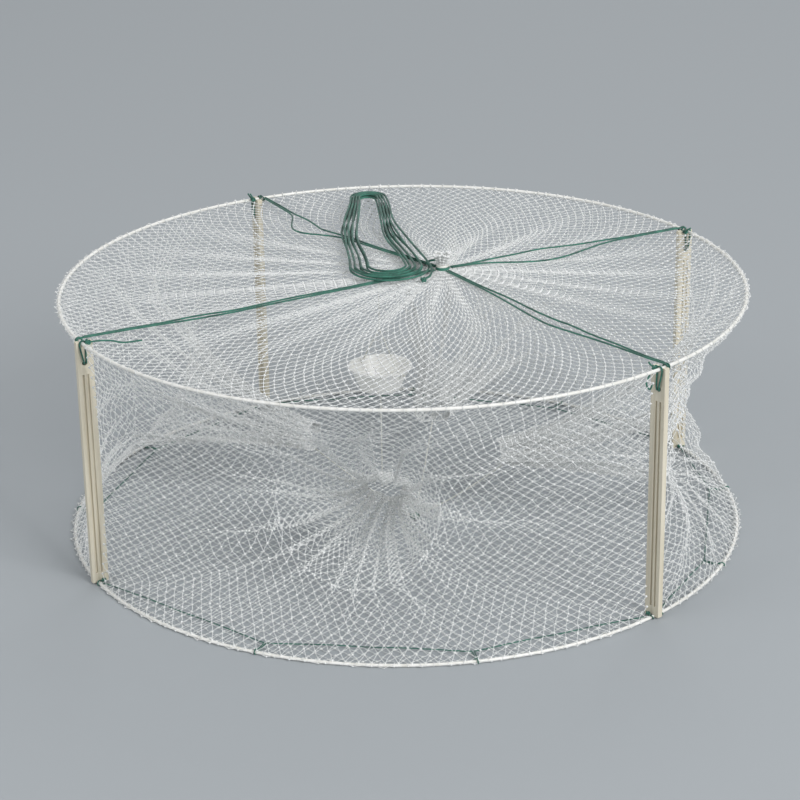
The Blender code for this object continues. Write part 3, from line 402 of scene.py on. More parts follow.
def drawn_in(flat, target, reach, share):
    """Flat points drawn to a target: one at distance d moves share * (1 - d / reach)**2 of its way."""
    away = target - flat
    near = np.clip(1 - np.linalg.norm(away, axis=1, keepdims=True) / reach, 0, 1)
    return flat + share * near**2 * away


half_columns = 2 * round(2 * HOOP_RADIUS / MESH_WIDTH)
half_rows = 2 * round(2 * HOOP_RADIUS / MESH_HEIGHT)
i, j, bars = knot_lattice(half_columns, half_rows, closed=False)
flat = 2 * HOOP_RADIUS * np.stack([i / half_columns - 0.5, j / half_rows - 0.5], axis=1)
waves = [np.sin(BOTTOM_WAVES_ASIDE * flat[:, 1] + 1), np.sin(BOTTOM_WAVES_BACK * flat[:, 0] + 2)]
flat += BOTTOM_WAVE * np.stack(waves, axis=1)
inside = np.linalg.norm(flat, axis=1) < NET_RADIUS
bars = bars[inside[bars].any(axis=1)]
flat *= np.minimum(1, NET_RADIUS / np.maximum(np.linalg.norm(flat, axis=1, keepdims=True), 1e-9))
for tie in (CUP_PLACE, TIE_KNOT_PLACE):
    flat = drawn_in(flat, tie, DRAW_REACH, DRAW_SHARE)
knots = np.column_stack([uneven(flat, FLAT_UNEVENNESS), np.full(len(flat), BOTTOM_NET_Z)])
in_front = flat[bars[:, 0], 1] < 0
netting("bottom_netting_front", knots, bars[in_front], "base", ["bottom_net"])
netting("bottom_netting_back", knots, bars[~in_front], "base", ["bottom_net"])


# The four sides: netting laced to both hoops and drawn in at the waist, where it runs on into a funnel.
# Each is baggy, and taller than the trap, so its meshes crowd into folds on their way to the funnel's mouth.
UPRIGHT_ANGLES = {"front_left": 207.6, "front_right": 312.9, "back_right": 27.4, "back_left": 118.4}
PANELS = {
    "front": ("front_left", "front_right"),
    "right": ("front_right", "back_right"),
    "back": ("back_right", "back_left"),
    "left": ("back_left", "front_left"),
}
SIDE_MARGIN = 0.0093
WAIST_AT_UPRIGHT = 0.008
WAIST_AT_MIDDLE = 0.050
MOUTH_HALF_WIDTH = 0.080
MOUTH_HALF_HEIGHT = 0.066
SIDE_BOTTOM_Z = BOTTOM_WIRE_Z + WIRE_RADIUS + GAP
SIDE_TOP_Z = TOP_WIRE_Z - WIRE_RADIUS - GAP
SIDE_ROWS = 48
HOLE_SPREAD = 1.38
HOLE_UP = 0.58
MOUTH_DRAW = 0.014
MOUTH_REACH = 0.8
MOUTH_CROWDING = 1.2
BUNCHING = 0.9
SIDE_RIPPLE = 0.0035
SIDE_RIPPLES = 17
SIDE_UNEVENNESS = 0.0006
LACED_SHARE = 0.97


def panel_span(panel):
    """The middle angle and half the angle of a side, between the uprights at its two ends, less a margin."""
    first, last = (math.radians(UPRIGHT_ANGLES[corner]) for corner in PANELS[panel])
    last += 0 if last > first else 2 * math.pi
    return (first + last) / 2, (last - first) / 2 - SIDE_MARGIN / HOOP_RADIUS


def side_point(panel, p, q):
    """A point of a side, p and q from -1 to 1 along the hoop and up, drawn in by its waist times 1 - q**2.

    The waist is WAIST_AT_UPRIGHT deep at the ends and rises with 1 - p**2 to WAIST_AT_MIDDLE.
    """
    middle, half = panel_span(panel)
    waist = WAIST_AT_UPRIGHT + (WAIST_AT_MIDDLE - WAIST_AT_UPRIGHT) * (1 - p * p)
    radius = HOOP_RADIUS - waist * (1 - q * q)
    height = (SIDE_BOTTOM_Z + SIDE_TOP_Z) / 2 + q * (SIDE_TOP_Z - SIDE_BOTTOM_Z) / 2
    return polar(radius, middle + half * p, height)


def mouth_share(panel):
    """The funnel mouth's half width and half height, as shares of its side's."""
    half_height = (SIDE_TOP_Z - SIDE_BOTTOM_Z) / 2
    return MOUTH_HALF_WIDTH / (HOOP_RADIUS * panel_span(panel)[1]), MOUTH_HALF_HEIGHT / half_height


def mouth_draw(panel, ratio):
    """How far inwards the netting is drawn at a mouth: MOUTH_DRAW (1 - (ratio - 1) / MOUTH_REACH)**2.

    The ratio is 1 at the mouth's edge and 2 twice as far from its middle.
    """
    near = np.clip(1 - (np.asarray(ratio) - 1) / MOUTH_REACH, 0, 1)[..., None]
    return MOUTH_DRAW * near**2 * polar(-1, panel_span(panel)[0], 0)


def fold(piece):
    """Give a soft piece of the sides a mesh of its own."""
    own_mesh(piece)


def bunched(turn, strength, seed):
    """Angles pushed together into folds by strength times a sum of sin(count turn + phase) / count.

    The five counts and phases come from a seed.
    """
    draw = np.random.default_rng(seed)
    counts = draw.choice(np.arange(5, 34), 5, replace=False)
    phases = draw.uniform(0, 2 * np.pi, 5)
    push = sum(np.sin(count * turn + phase) / count for count, phase in zip(counts, phases))
    return turn + strength * push


for seed, panel in enumerate(PANELS):
    middle, half = panel_span(panel)
    half_columns = 2 * round(2 * half * HOOP_RADIUS / MESH_WIDTH)
    i, j, bars = knot_lattice(half_columns, SIDE_ROWS, closed=False)
    p, q = 2 * i / half_columns - 1, 2 * j / SIDE_ROWS - 1
    across, up = mouth_share(panel)
    # The flat netting has an oval hole, whose edge comes to lie on the funnel's mouth. A knot outside it
    # keeps its direction and its share of the way from the hole's edge to the side's edge.
    hole_p, hole_q = p / (HOLE_SPREAD * across), q / HOLE_UP
    turn = np.arctan2(hole_q, hole_p)
    to_hole = 1 / np.maximum(np.hypot(hole_p, hole_q), 1e-6)
    to_edge = 1 / np.maximum(np.maximum(np.abs(p), np.abs(q)), 1e-6)
    kept = to_hole < 1
    outwards = np.where(kept, np.clip((1 - to_hole) / np.maximum(to_edge - to_hole, 1e-6), 0, 1), 0)
    turn += (1 - outwards)**1.5 * (bunched(turn, BUNCHING, seed) - turn)
    at_mouth = np.stack([across * np.cos(turn), up * np.sin(turn)], axis=1)
    at_edge = np.stack([p, q], axis=1) * to_edge[:, None]
    spot = at_mouth + outwards[:, None]**MOUTH_CROWDING * (at_edge - at_mouth)
    ripple = SIDE_RIPPLE * (1 - outwards) * outwards * 4 * np.sin(SIDE_RIPPLES * turn + 3 * seed)
    from_mouth = np.hypot(spot[:, 0] / across, spot[:, 1] / up)
    knots = side_point(panel, spot[:, 0], spot[:, 1])
    knots += mouth_draw(panel, from_mouth) - ripple[:, None] * polar(1, middle, 0)
    knots += (outwards < LACED_SHARE)[:, None] * (uneven(knots, SIDE_UNEVENNESS) - knots)
    bars = bars[kept[bars].any(axis=1)]
    fold(netting("side_netting_" + panel, knots, bars, "base", ["side_net_" + panel]))


# The funnels: each side's netting runs on inwards and narrows to a slack oval inside the trap.
# Its meshes crowd together in folds, and a seam of doubled twine holds the inner mouth open.
THROAT_RADIUS = 0.088
THROAT_HEIGHT = 0.064
THROAT_HALF_WIDTH = 0.019
THROAT_HALF_HEIGHT = 0.011
THROAT_WAVE = 0.0028
FUNNEL_MESHES = 80
FUNNEL_ROWS = 30
FOLD_DEPTH = 0.0036
WIDE_FOLDS = 13
NARROW_FOLDS = 29
FUNNEL_SAG = 0.006
SEAM_RADIUS = 0.0004
SEAM_STEPS = 96


def throat_middle(panel):
    """The middle of the funnel's inner mouth."""
    return polar(THROAT_RADIUS, panel_span(panel)[0], THROAT_HEIGHT)


def throat_point(panel, turn):
    """A point of the funnel's inner mouth, an upright ellipse across the side's middle direction.

    Its slack edge reaches in and out along that by THROAT_WAVE (sin(3 turn + middle) + 0.5 sin(7 turn)).
    """
    middle = panel_span(panel)[0]
    along = polar(1, middle + np.pi / 2, 0)
    sideways = THROAT_HALF_WIDTH * np.cos(turn)[..., None] * along
    upwards = THROAT_HALF_HEIGHT * np.sin(turn)[..., None] * np.array((0, 0, 1))
    reach = THROAT_WAVE * (np.sin(3 * turn + middle) + 0.5 * np.sin(7 * turn))
    return throat_middle(panel) + sideways + reach[..., None] * polar(1, middle, 0) + upwards


def funnel_point(panel, turn, share):
    """A point of a funnel, from the drawn-in mouth at share 0 to the throat at 1.

    It narrows by 1 - (1 - share)**1.8, so it leaves the side in a flare, as the bell of a trumpet does.
    """
    across, up = mouth_share(panel)
    mouth = side_point(panel, across * np.cos(turn), up * np.sin(turn)) + mouth_draw(panel, 1.0)
    mouth_middle = side_point(panel, 0.0, 0.0) + mouth_draw(panel, 1.0)
    end_middle = throat_middle(panel)
    share = np.asarray(share)[..., None]
    narrowing = 1 - (1 - share)**1.8
    wide, narrow = mouth - mouth_middle, throat_point(panel, turn) - end_middle
    return mouth_middle + share * (end_middle - mouth_middle) + wide + narrowing * (narrow - wide)


for seed, panel in enumerate(PANELS):
    i, j, bars = knot_lattice(2 * FUNNEL_MESHES, FUNNEL_ROWS, closed=True)
    share = j / FUNNEL_ROWS
    turn = bunched(np.pi * i / FUNNEL_MESHES, BUNCHING, seed)
    # Wide folds of FOLD_DEPTH, and narrow ones half as deep, push its knots away from its middle and back.
    knots = funnel_point(panel, turn, share)
    outwards = unit(funnel_point(panel, turn, 0.5) - funnel_point(panel, turn + np.pi, 0.5))
    belly = 4 * share * (1 - share)
    waves = np.sin(WIDE_FOLDS * turn + seed) + 0.5 * np.sin(NARROW_FOLDS * turn + 2 * seed)
    knots += (FOLD_DEPTH * belly * waves)[:, None] * outwards
    knots[:, 2] -= FUNNEL_SAG * belly
    knots += belly[:, None] * (uneven(knots, SIDE_UNEVENNESS) - knots)
    fold(netting("funnel_netting_" + panel, knots, bars, "base", ["funnel_" + panel]))
    ring_turn = 2 * np.pi * np.arange(SEAM_STEPS) / SEAM_STEPS
    straight_in = polar(1, panel_span(panel)[0], 0)
    seam = tube(throat_point(panel, ring_turn), SEAM_RADIUS, 5, straight_in, closed=True)
    fold(add_piece("funnel_throat_seam_" + panel, seam, nylon_twine, "base"))


# The netting's edge on the hoops: each edge mesh is hitched round the wire with a turn of the same twine.
# The hitches are tight in front and loose at the sides and back, and slack meshes stand outside the wire.
HITCH_RADIUS = WIRE_RADIUS + TWINE_RADIUS + 0.0001
HITCH_STEPS = 10
HITCH_LEAN = (0.0004, 0.0014)
HITCH_SLACK = 0.0007
HITCH_DRIFT = 0.2
LOOSE_THICKER = 0.4
UPRIGHT_ROOM = 0.011
# Each edge's name, body and height, how far out its slack meshes reach, and its least looseness.
SLACK_EDGES = (
    ("bottom", "base", BOTTOM_WIRE_Z, 0.0034, 0.6),
    ("top", "top", TOP_WIRE_Z, 0.0024, 0.0),
)
EDGE_SLACK = (0.15, 1.0)
LEAST_SLACK = 0.12
EDGE_KNOT_HEIGHTS = (-0.0020, 0.0016)
WHISKERS = 40
WHISKER_LENGTHS = (0.0015, 0.0035)


def looseness(angle):
    """How loose the edge is at an angle: 0 in front, where its sine is below -0.75, and 1 from -0.25 up."""
    return np.clip(2 * np.sin(angle) + 1.5, 0, 1)


def off_uprights(angle):
    """Which angles lie clear of every upright."""
    corners = np.radians(list(UPRIGHT_ANGLES.values()))[:, None]
    to_uprights = np.abs((angle - corners + np.pi) % (2 * np.pi) - np.pi)
    return np.min(to_uprights, axis=0) * HOOP_RADIUS > UPRIGHT_ROOM


def hitches(height, draw):
    """Closed turns of twine round a hoop's wire, one for each mesh, that lean along it."""
    drift = draw.uniform(-HITCH_DRIFT, HITCH_DRIFT, MESHES_ROUND)
    angle = 2 * np.pi * (np.arange(MESHES_ROUND) + drift) / MESHES_ROUND
    angle = angle[off_uprights(angle)][:, None]
    round_wire = 2 * np.pi * np.arange(HITCH_STEPS) / HITCH_STEPS
    lean = draw.uniform(*HITCH_LEAN, angle.shape) * np.cos(round_wire + draw.uniform(0, 6, angle.shape))
    reach = HITCH_RADIUS + looseness(angle) * draw.uniform(0.0, HITCH_SLACK, angle.shape)
    out, up = reach * np.cos(round_wire), reach * np.sin(round_wire)
    path = polar(HOOP_RADIUS + out, angle + lean / HOOP_RADIUS, height + up)
    onward = np.roll(path, -1, axis=1)
    thick = TWINE_RADIUS * (1 + LOOSE_THICKER * np.broadcast_to(looseness(angle), path.shape[:2]))
    return twine_bars(path.reshape(-1, 3), onward.reshape(-1, 3), thick.reshape(-1, 1, 1))


def edge_meshes(height, reach, least, draw):
    """Slack half meshes outside a hoop, each two strands from the wire to a knot within a reach of it.

    They stand where the edge is loose enough, and a tight edge counts as loose by the least share given.
    """
    angle = 2 * np.pi * np.arange(MESHES_ROUND) / MESHES_ROUND
    slack = np.maximum(looseness(angle), least) * draw.uniform(*EDGE_SLACK, MESHES_ROUND)
    there = off_uprights(angle) & (slack > LEAST_SLACK)
    angle, slack = angle[there], slack[there]
    step = np.pi / MESHES_ROUND
    edge = HOOP_RADIUS + 0.7 * HITCH_RADIUS
    aside = draw.uniform(-0.5, 0.5, len(angle)) * step
    above = draw.uniform(*EDGE_KNOT_HEIGHTS, len(angle)) * slack
    knots = polar(edge + reach * slack, angle + aside, height + above)
    near, far = polar(edge, angle - step, height), polar(edge, angle + step, height)
    strands = twine_bars(np.concatenate([near, knots]), np.concatenate([knots, far]), TWINE_RADIUS)
    return strands, twine_knots(knots, 0.8 * KNOT_RADIUS)


def whiskers(height, count, draw):
    """Short cut ends of twine that stand out from the wire where the edge is loose."""
    angle = draw.uniform(0, 2 * np.pi, count)
    angle = angle[off_uprights(angle) & (looseness(angle) > 0.3)]
    foot = polar(HOOP_RADIUS + HITCH_RADIUS, angle, height + 0.5 * HITCH_RADIUS)
    way = unit(polar(1, angle, 0) + draw.uniform(-0.9, 0.9, (len(angle), 3)))
    return twine_bars(foot, foot + draw.uniform(*WHISKER_LENGTHS, (len(angle), 1)) * way, 0.7 * TWINE_RADIUS)


for name, body, height, reach, least in SLACK_EDGES:
    draw = np.random.default_rng(5)
    shapes = [hitches(height, draw), *edge_meshes(height, reach, least, draw)]
    shapes.append(whiskers(height, WHISKERS, draw))
    points, faces = joined(shapes)
    points[:, 2] = np.maximum(points[:, 2], 0.0)
    add_piece(name + "_edge_hitches", (points, faces), nylon_twine, body)


# The top net: the same meshes run in from the top hoop to a gathered hub behind the middle.
# They are drawn long and close towards the hub, in folds, and sag slightly between it and the hoop.
GATHER_PLACE = box_middle("gathered_tuft")[:2]
HUB_RADIUS = 0.010
TOP_ROWS = 39
TOP_SAG = 0.005
TOP_BUNCHING = 0.5
TOP_FOLD = 0.0016
TOP_FOLDS = 23


def top_point(turn, share):
    """A point of the top net, from the hoop at share 0 to the hub's edge at 1.

    It sags by TOP_SAG sin(pi share**0.7).
    """
    rim = polar(NET_RADIUS, turn, TOP_WIRE_Z)
    hub = polar(HUB_RADIUS, turn, TOP_WIRE_Z)
    hub[..., :2] += GATHER_PLACE
    share = np.asarray(share)[..., None]
    spot = rim + share * (hub - rim)
    spot[..., 2] -= (TOP_SAG * np.sin(np.pi * share**0.7))[..., 0]
    return spot


# Its bars are all as long, so row j lies at a radius of reach sin(asin(hoop radius / reach) - row step j).
i, j, bars = knot_lattice(2 * MESHES_ROUND, TOP_ROWS, closed=True)
reach = MESHES_ROUND * BAR_LENGTH / math.pi
row_step = math.pi / MESHES_ROUND
row_radius = reach * np.sin(math.asin(HOOP_RADIUS / reach) - row_step * j)
share = np.clip((HOOP_RADIUS - row_radius) / (HOOP_RADIUS - HUB_RADIUS), 0, 1)
turn = np.pi * i / MESHES_ROUND
turn = turn + share**2.5 * (bunched(turn, TOP_BUNCHING, 21) - turn)
knots = top_point(turn, share)
knots[:, 2] += TOP_FOLD * share * (1 - share) * 4 * np.sin(TOP_FOLDS * turn + 1)
quarter = (2 * i[bars[:, 0]]) // MESHES_ROUND
for number, panel in enumerate(("back", "left", "front", "right")):
    netting("top_netting_" + panel, knots, bars[quarter == number], "top", ["top_net"])


# The gathered tuft: the net's last meshes, tied with a white draw cord and spread out above it.
# The tuft stands as pleats of crowded twine round a hollow.
TUFT_NECK_RADIUS = 0.004
TUFT_NECK_SHARE = 0.35
TUFT_NECK_INSET = 0.0006
TUFT_NECK_RISE = 0.002
TUFT_TOP_RADIUS = 0.0072
TUFT_PLEATS = 11
PLEAT_DEPTH = 0.45
TUFT_HEIGHT = 0.0126
TUFT_COLUMNS = 140
TUFT_ROWS = 7


def tuft_point(turn, share):
    """A point of the tuft, share 0 to 1: in from the hub to its neck, then up and out into pleats."""
    in_share = np.clip(share / TUFT_NECK_SHARE, 0, 1)
    up_share = np.clip((share - TUFT_NECK_SHARE) / (1 - TUFT_NECK_SHARE), 0, 1)
    neck_radius = TUFT_NECK_RADIUS - TUFT_NECK_INSET
    radius = HUB_RADIUS + (neck_radius - HUB_RADIUS) * np.sin(in_share * np.pi / 2)
    spread = up_share**1.6
    pleated = 1 + PLEAT_DEPTH * np.sin(TUFT_PLEATS * turn)
    radius = radius + spread * (TUFT_TOP_RADIUS - TUFT_NECK_RADIUS) * pleated
    neck_height = TOP_WIRE_Z + TUFT_NECK_RISE * in_share**2
    height = neck_height + TUFT_HEIGHT * up_share * (1 + 0.10 * np.sin(3 * turn + 1))
    spot = polar(radius, turn + 0.2 * up_share, height)
    spot[..., :2] += GATHER_PLACE
    return spot


i, j, bars = knot_lattice(TUFT_COLUMNS, TUFT_ROWS, closed=True)
knots = tuft_point(2 * np.pi * i / TUFT_COLUMNS, j / TUFT_ROWS)
netting("tuft_netting", knots, bars, "top", ["gathered_tuft"])


# The braided cords: dark green polyethylene ties the trap, and white polyester holds the bait and funnels.
# A braid shows as two crossed rows of small strands, so its bumps run both ways round the cord.
# Its tone runs with them as painted shade in the grooves between strands and painted highlight on their
# crowns.
BRAID_PITCH = 0.0024


def braided_cord(name, dark, light):
    """A braided cord, whose height and tone follow sin(2 pi (u / pitch + v)) sin(2 pi (u / pitch - v)).

    Its tone is painted shade in the grooves between strands and painted highlight on their crowns, and wear
    in patches of about 11 mm lightens it.
    """
    made, tree, shader = new_material(name, Roughness=0.62, IOR=1.5, Sheen_Weight=0.2)
    place = add_node(tree, "TexCoord")
    parts = add_node(tree, "SeparateXYZ", {"Vector": place.outputs["UV"]})
    along = add_node(tree, "Math", {0: parts.outputs["X"], 1: 1 / BRAID_PITCH}, operation="MULTIPLY")
    waves = []
    for way in ("ADD", "SUBTRACT"):
        around = add_node(tree, "Math", {0: along.outputs["Value"], 1: parts.outputs["Y"]}, operation=way)
        turned = add_node(tree, "Math", {0: around.outputs["Value"], 1: 2 * math.pi}, operation="MULTIPLY")
        waves.append(add_node(tree, "Math", {0: turned.outputs["Value"]}, operation="SINE"))
    crossed = {0: waves[0].outputs["Value"], 1: waves[1].outputs["Value"]}
    height = add_node(tree, "Math", crossed, operation="MULTIPLY")
    wear = add_node(tree, "TexNoise", {"Vector": place.outputs["Object"], "Scale": 90.0, "Detail": 2.0})
    # The braid's height gives painted shade in its grooves and painted highlight on its strands, and the wear
    # noise gives lighter patches.
    height_and_wear = {0: height.outputs["Value"], 1: 0.30, 2: wear.outputs["Fac"]}
    painted_braid_shade_and_wear = add_node(tree, "Math", height_and_wear, operation="MULTIPLY_ADD")
    colour_by(tree, shader, painted_braid_shade_and_wear.outputs["Value"], dark, light, 0.25, 0.80)
    bump_by(tree, shader, height.outputs["Value"], 0.5, 0.0002)
    return made


def smooth_route(knots, steps):
    """Points along a Catmull-Rom curve through the knots.

    On the stretch from b to c, with a before it and d after it, the point at t from 0 to 1 is
    (2 b + (c - a) t + (2 a - 5 b + 4 c - d) t**2 + (3 b - a - 3 c + d) t**3) / 2.
    """
    knots = np.asarray(knots, dtype=float)
    ends = np.concatenate([[2 * knots[0] - knots[1]], knots, [2 * knots[-1] - knots[-2]]])
    a, b, c, d = (ends[k:len(ends) - 3 + k, None] for k in range(4))
    t = (np.arange(steps) / steps)[None, :, None]
    curve = 2 * b + (c - a) * t + (2 * a - 5 * b + 4 * c - d) * t**2 + (3 * b - a - 3 * c + d) * t**3
    return np.concatenate([curve.reshape(-1, 3) / 2, knots[-1:]])


def tied_knot(middle, radius, height, cord_radius, turn=0.0):
    """A trefoil of cord, (sin t + 2 sin 2t, cos t - 2 cos 2t, -sin 3t), scaled to a width and a height."""
    t = 2 * np.pi * np.arange(60) / 60
    x, y, z = np.sin(t) + 2 * np.sin(2 * t), np.cos(t) - 2 * np.cos(2 * t), -np.sin(3 * t)
    wide = (radius - cord_radius) / 3
    path = np.stack([wide * x, wide * y, (height / 2 - cord_radius) * z], axis=1)
    spin = np.array([[math.cos(turn), -math.sin(turn), 0], [math.sin(turn), math.cos(turn), 0], [0, 0, 1]])
    return tube(path @ spin.T + middle, cord_radius, 8, (0.1, 0.2, 1), closed=True)


# Each cord's dark colour is its painted shade in the braid's grooves, and its light colour is its painted
# highlight.
green_cord = braided_cord("green_polyethylene_cord", "#123F35", "#3F8673")
white_cord = braided_cord("white_polyester_cord", "#BDBDB5", "#F0F0EA")


# The funnels' ties: a white cord from each inner mouth down to one green knot on the bottom net.
# They keep the funnels stretched towards the middle of the trap, and sag a little on their way.
FUNNEL_TIE_RADIUS = 0.0006
TIE_KNOT_RADIUS = 0.0045
TIE_KNOT_HEIGHT = 0.005
TIE_KNOT_CORD_RADIUS = 0.0011
TIE_KNOT_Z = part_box("funnel_tie_knot")[0][2] + TIE_KNOT_HEIGHT / 2

knot_middle = np.array([*TIE_KNOT_PLACE, TIE_KNOT_Z])
for panel in PANELS:
    lip = throat_point(panel, np.array(-np.pi / 2)) - np.array((0, 0, SEAM_RADIUS))
    away = unit((lip - knot_middle) * (1, 1, 0))
    end = knot_middle + away * (TIE_KNOT_RADIUS - FUNNEL_TIE_RADIUS)
    sag = (lip + end) / 2 - np.array((0, 0, TIE_KNOT_HEIGHT / 2))
    sideways = np.cross(away, (0, 0, 1))
    tie = tube(smooth_route([lip, sag, end], 10), FUNNEL_TIE_RADIUS, 8, sideways)
    fold(add_piece("funnel_tie_cord_" + panel, tie, white_cord, "base",
                   ["funnel_tie_" + panel]))
tie_knot = tied_knot(knot_middle, TIE_KNOT_RADIUS, TIE_KNOT_HEIGHT, TIE_KNOT_CORD_RADIUS)
add_piece("funnel_tie_tied_knot", tie_knot, green_cord, "base", ["funnel_tie_knot"])


# The green cord that laces each side to the bottom, in long runs over the bottom net with two legs to a tie.
# At a tie it takes one turn round the wire, and by each upright's foot it is looped round it and knotted.
LACING_RADIUS = 0.0005
LACING_TIES = {
    "front": (245.8, 280.5),
    "right": (335.0, 366.6),
    "back": (57.7, 88.1),
    "left": (148.1, 177.9),
}
LACING_CLEAR = 0.0058
LACING_INSET = 0.014
LACING_LEGS_APART = 0.0024
LACING_LIFT = 0.0008
LACING_LIFTS = ((0.03, 0.0), (0.3, 1.0), (0.5, 0.3), (0.7, 1.0), (0.97, 0.0))
LACING_REACH = WIRE_RADIUS + 2 * TWINE_RADIUS + LACING_RADIUS
LACING_LOOP_LEAN = 0.004
LACING_KNOT_RADIUS = 0.0022
LACING_KNOT_HEIGHT = 0.0034
LACING_KNOT_CORD_RADIUS = 0.0006
LACING_KNOT_INSET = 0.0018
LACING_KNOT_LIFT = 0.0022


def round_bottom_wire(turns, angles):
    """Points round the bottom wire at a cord's distance from it, and never under the floor."""
    height = np.maximum(BOTTOM_WIRE_Z + LACING_REACH * np.sin(turns), LACING_RADIUS)
    return polar(HOOP_RADIUS + LACING_REACH * np.cos(turns), angles, height)


for panel, ties in LACING_TIES.items():
    first, last = (math.radians(UPRIGHT_ANGLES[corner]) for corner in PANELS[panel])
    last += 0 if last > first else 2 * math.pi
    clear = LACING_CLEAR / HOOP_RADIUS
    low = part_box("bottom_lacing_" + panel)[0][2] + LACING_RADIUS
    outside = NET_RADIUS - LACING_RADIUS
    inside = outside - LACING_INSET
    beside = LACING_LEGS_APART / 2 / HOOP_RADIUS
    stops = [[polar(outside, first + clear, low)]]
    for angle in np.radians(ties):
        turned = round_bottom_wire(np.linspace(np.pi, -np.pi, 13), angle + np.linspace(-beside, beside, 13))
        stops.append([polar(inside, angle - beside, low), *turned, polar(inside, angle + beside, low)])
    stops.append([polar(outside, last - clear, low)])
    route = [*stops[0]]
    for before, here in zip(stops, stops[1:]):
        start, run = before[-1], here[0] - before[-1]
        route += [start + share * run + (0, 0, lift * LACING_LIFT) for share, lift in LACING_LIFTS] + here
    shapes = [tube(smooth_route(route, 5), LACING_RADIUS, 7, (0.01, 0.02, 1))]
    for angle in (first + clear, last - clear):
        turns = 2 * np.pi * np.arange(16) / 16
        loop = round_bottom_wire(turns, angle + LACING_LOOP_LEAN * np.cos(turns + 1))
        shapes.append(tube(loop, LACING_RADIUS, 7, polar(1, angle + np.pi / 2, 0), closed=True))
        knot_middle = polar(NET_RADIUS - LACING_KNOT_INSET, angle, low + LACING_KNOT_LIFT)
        knot_size = (LACING_KNOT_RADIUS, LACING_KNOT_HEIGHT, LACING_KNOT_CORD_RADIUS)
        shapes.append(tied_knot(knot_middle, *knot_size, angle))
    add_piece("bottom_lacing_cord_" + panel, joined(shapes), green_cord, "base",
              ["bottom_lacing_" + panel])


# The uprights: moulded polypropylene strips with a rib between two flanges, notched over both wires.
# The plastic is ivory, with soft moulded edges and a faint streak where it flowed along the strip.
EASED_EDGE = 0.00035

moulded_ivory, tree, shader = new_material("moulded_ivory_polypropylene", Roughness=0.42, IOR=1.49)
place = add_node(tree, "TexCoord")
stretched = add_node(tree, "Mapping", {"Vector": place.outputs["Object"], "Scale": (260.0, 260.0, 12.0)})
flow = add_node(tree, "TexNoise", {"Vector": stretched.outputs["Vector"], "Scale": 1.0, "Detail": 3.0})
colour_by(tree, shader, flow.outputs["Fac"], "#D2C9B3", "#E6DFCD", 0.3, 0.7)
grain = add_node(tree, "TexNoise", {"Vector": place.outputs["Object"], "Scale": 1400.0, "Detail": 1.0})
bump_by(tree, shader, grain.outputs["Fac"], 0.15, 0.0001)


def eased_copy(node, finish):
    """Put a CAD node's triangles on its body as a piece, with flat faces made whole and edges eased."""
    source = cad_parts[node].data
    points = np.empty(3 * len(source.vertices), dtype=np.float32)
    source.vertices.foreach_get("co", points)
    corners = np.empty(len(source.loops), dtype=np.int32)
    source.loops.foreach_get("vertex_index", corners)
    points = points.reshape(-1, 3)
    _, first, merged = np.unique(np.round(points, 6), axis=0, return_index=True, return_inverse=True)
    points = points[first]
    triangles = merged.ravel()[corners].reshape(-1, 3)
    a, b, c = triangles.T
    triangles = triangles[(a != b) & (b != c) & (c != a)]
    piece = add_piece("moulded_" + node, (points, [triangles]), finish, node, [node])
    whole = piece.modifiers.new("whole faces", "DECIMATE")
    whole.decimate_type = "DISSOLVE"
    whole.angle_limit = math.radians(1)
    eased = piece.modifiers.new("eased edges", "BEVEL")
    eased.width = EASED_EDGE
    eased.segments = 2
    eased.limit_method = "ANGLE"
    eased.angle_limit = math.radians(35)
    eased.harden_normals = True


for corner in UPRIGHT_ANGLES:
    eased_copy("upright_" + corner, moulded_ivory)


# The lashings: a green cord through each upright's hole and twice over the top wire, knotted inside it.
# The knot lies beside the upright, on the wire's inner side, and its two cut ends are left loose.
LASHING_RADIUS = 0.00075
UPRIGHT_HALF_THICKNESS = 0.0025
LASHING_OFFSET = UPRIGHT_HALF_THICKNESS + GAP + LASHING_RADIUS
LASHING_HOLE_DROP = 0.0175
LASHING_HOLE_INSET = -0.0014
LASHING_OVER = WIRE_RADIUS + LASHING_RADIUS + GAP
LASHING_HALF_HOLE = 0.00105
# The knot and the points of its ends lie so far inwards, along the wire and up from the wire's middle.
LASHING_KNOT = (0.0040, 0.0052, 0.0012)
LASHING_KNOT_RADIUS = 0.0029
LASHING_KNOT_HEIGHT = 0.0040
LASHING_ENDS = {
    "front_left": (
        (
            (0.0128, 0.0101, 0.0024), (0.0208, 0.0142, 0.0024),
            (0.0282, 0.0238, 0.0024), (0.0433, 0.0272, 0.0026),
        ),
        ((0.0030, 0.0075, 0.0040), (0.0015, 0.0100, 0.0056)),
    ),
    "front_right": (
        (
            (0.0050, 0.0082, -0.0030), (0.0060, 0.0120, -0.0110),
            (0.0044, 0.0095, -0.0165), (0.0040, 0.0066, -0.0120),
        ),
        ((0.0058, 0.0078, 0.0036), (0.0072, 0.0086, 0.0058)),
    ),
    "back_right": (
        ((0.0060, 0.0070, 0.0036), (0.0072, 0.0090, 0.0066)),
        ((0.0034, 0.0078, 0.0034), (0.0010, 0.0092, 0.0054)),
    ),
    "back_left": (
        ((0.0060, 0.0068, 0.0044), (0.0066, 0.0090, 0.0084)),
        ((0.0030, 0.0076, 0.0042), (0.0006, 0.0088, 0.0072)),
    ),
}

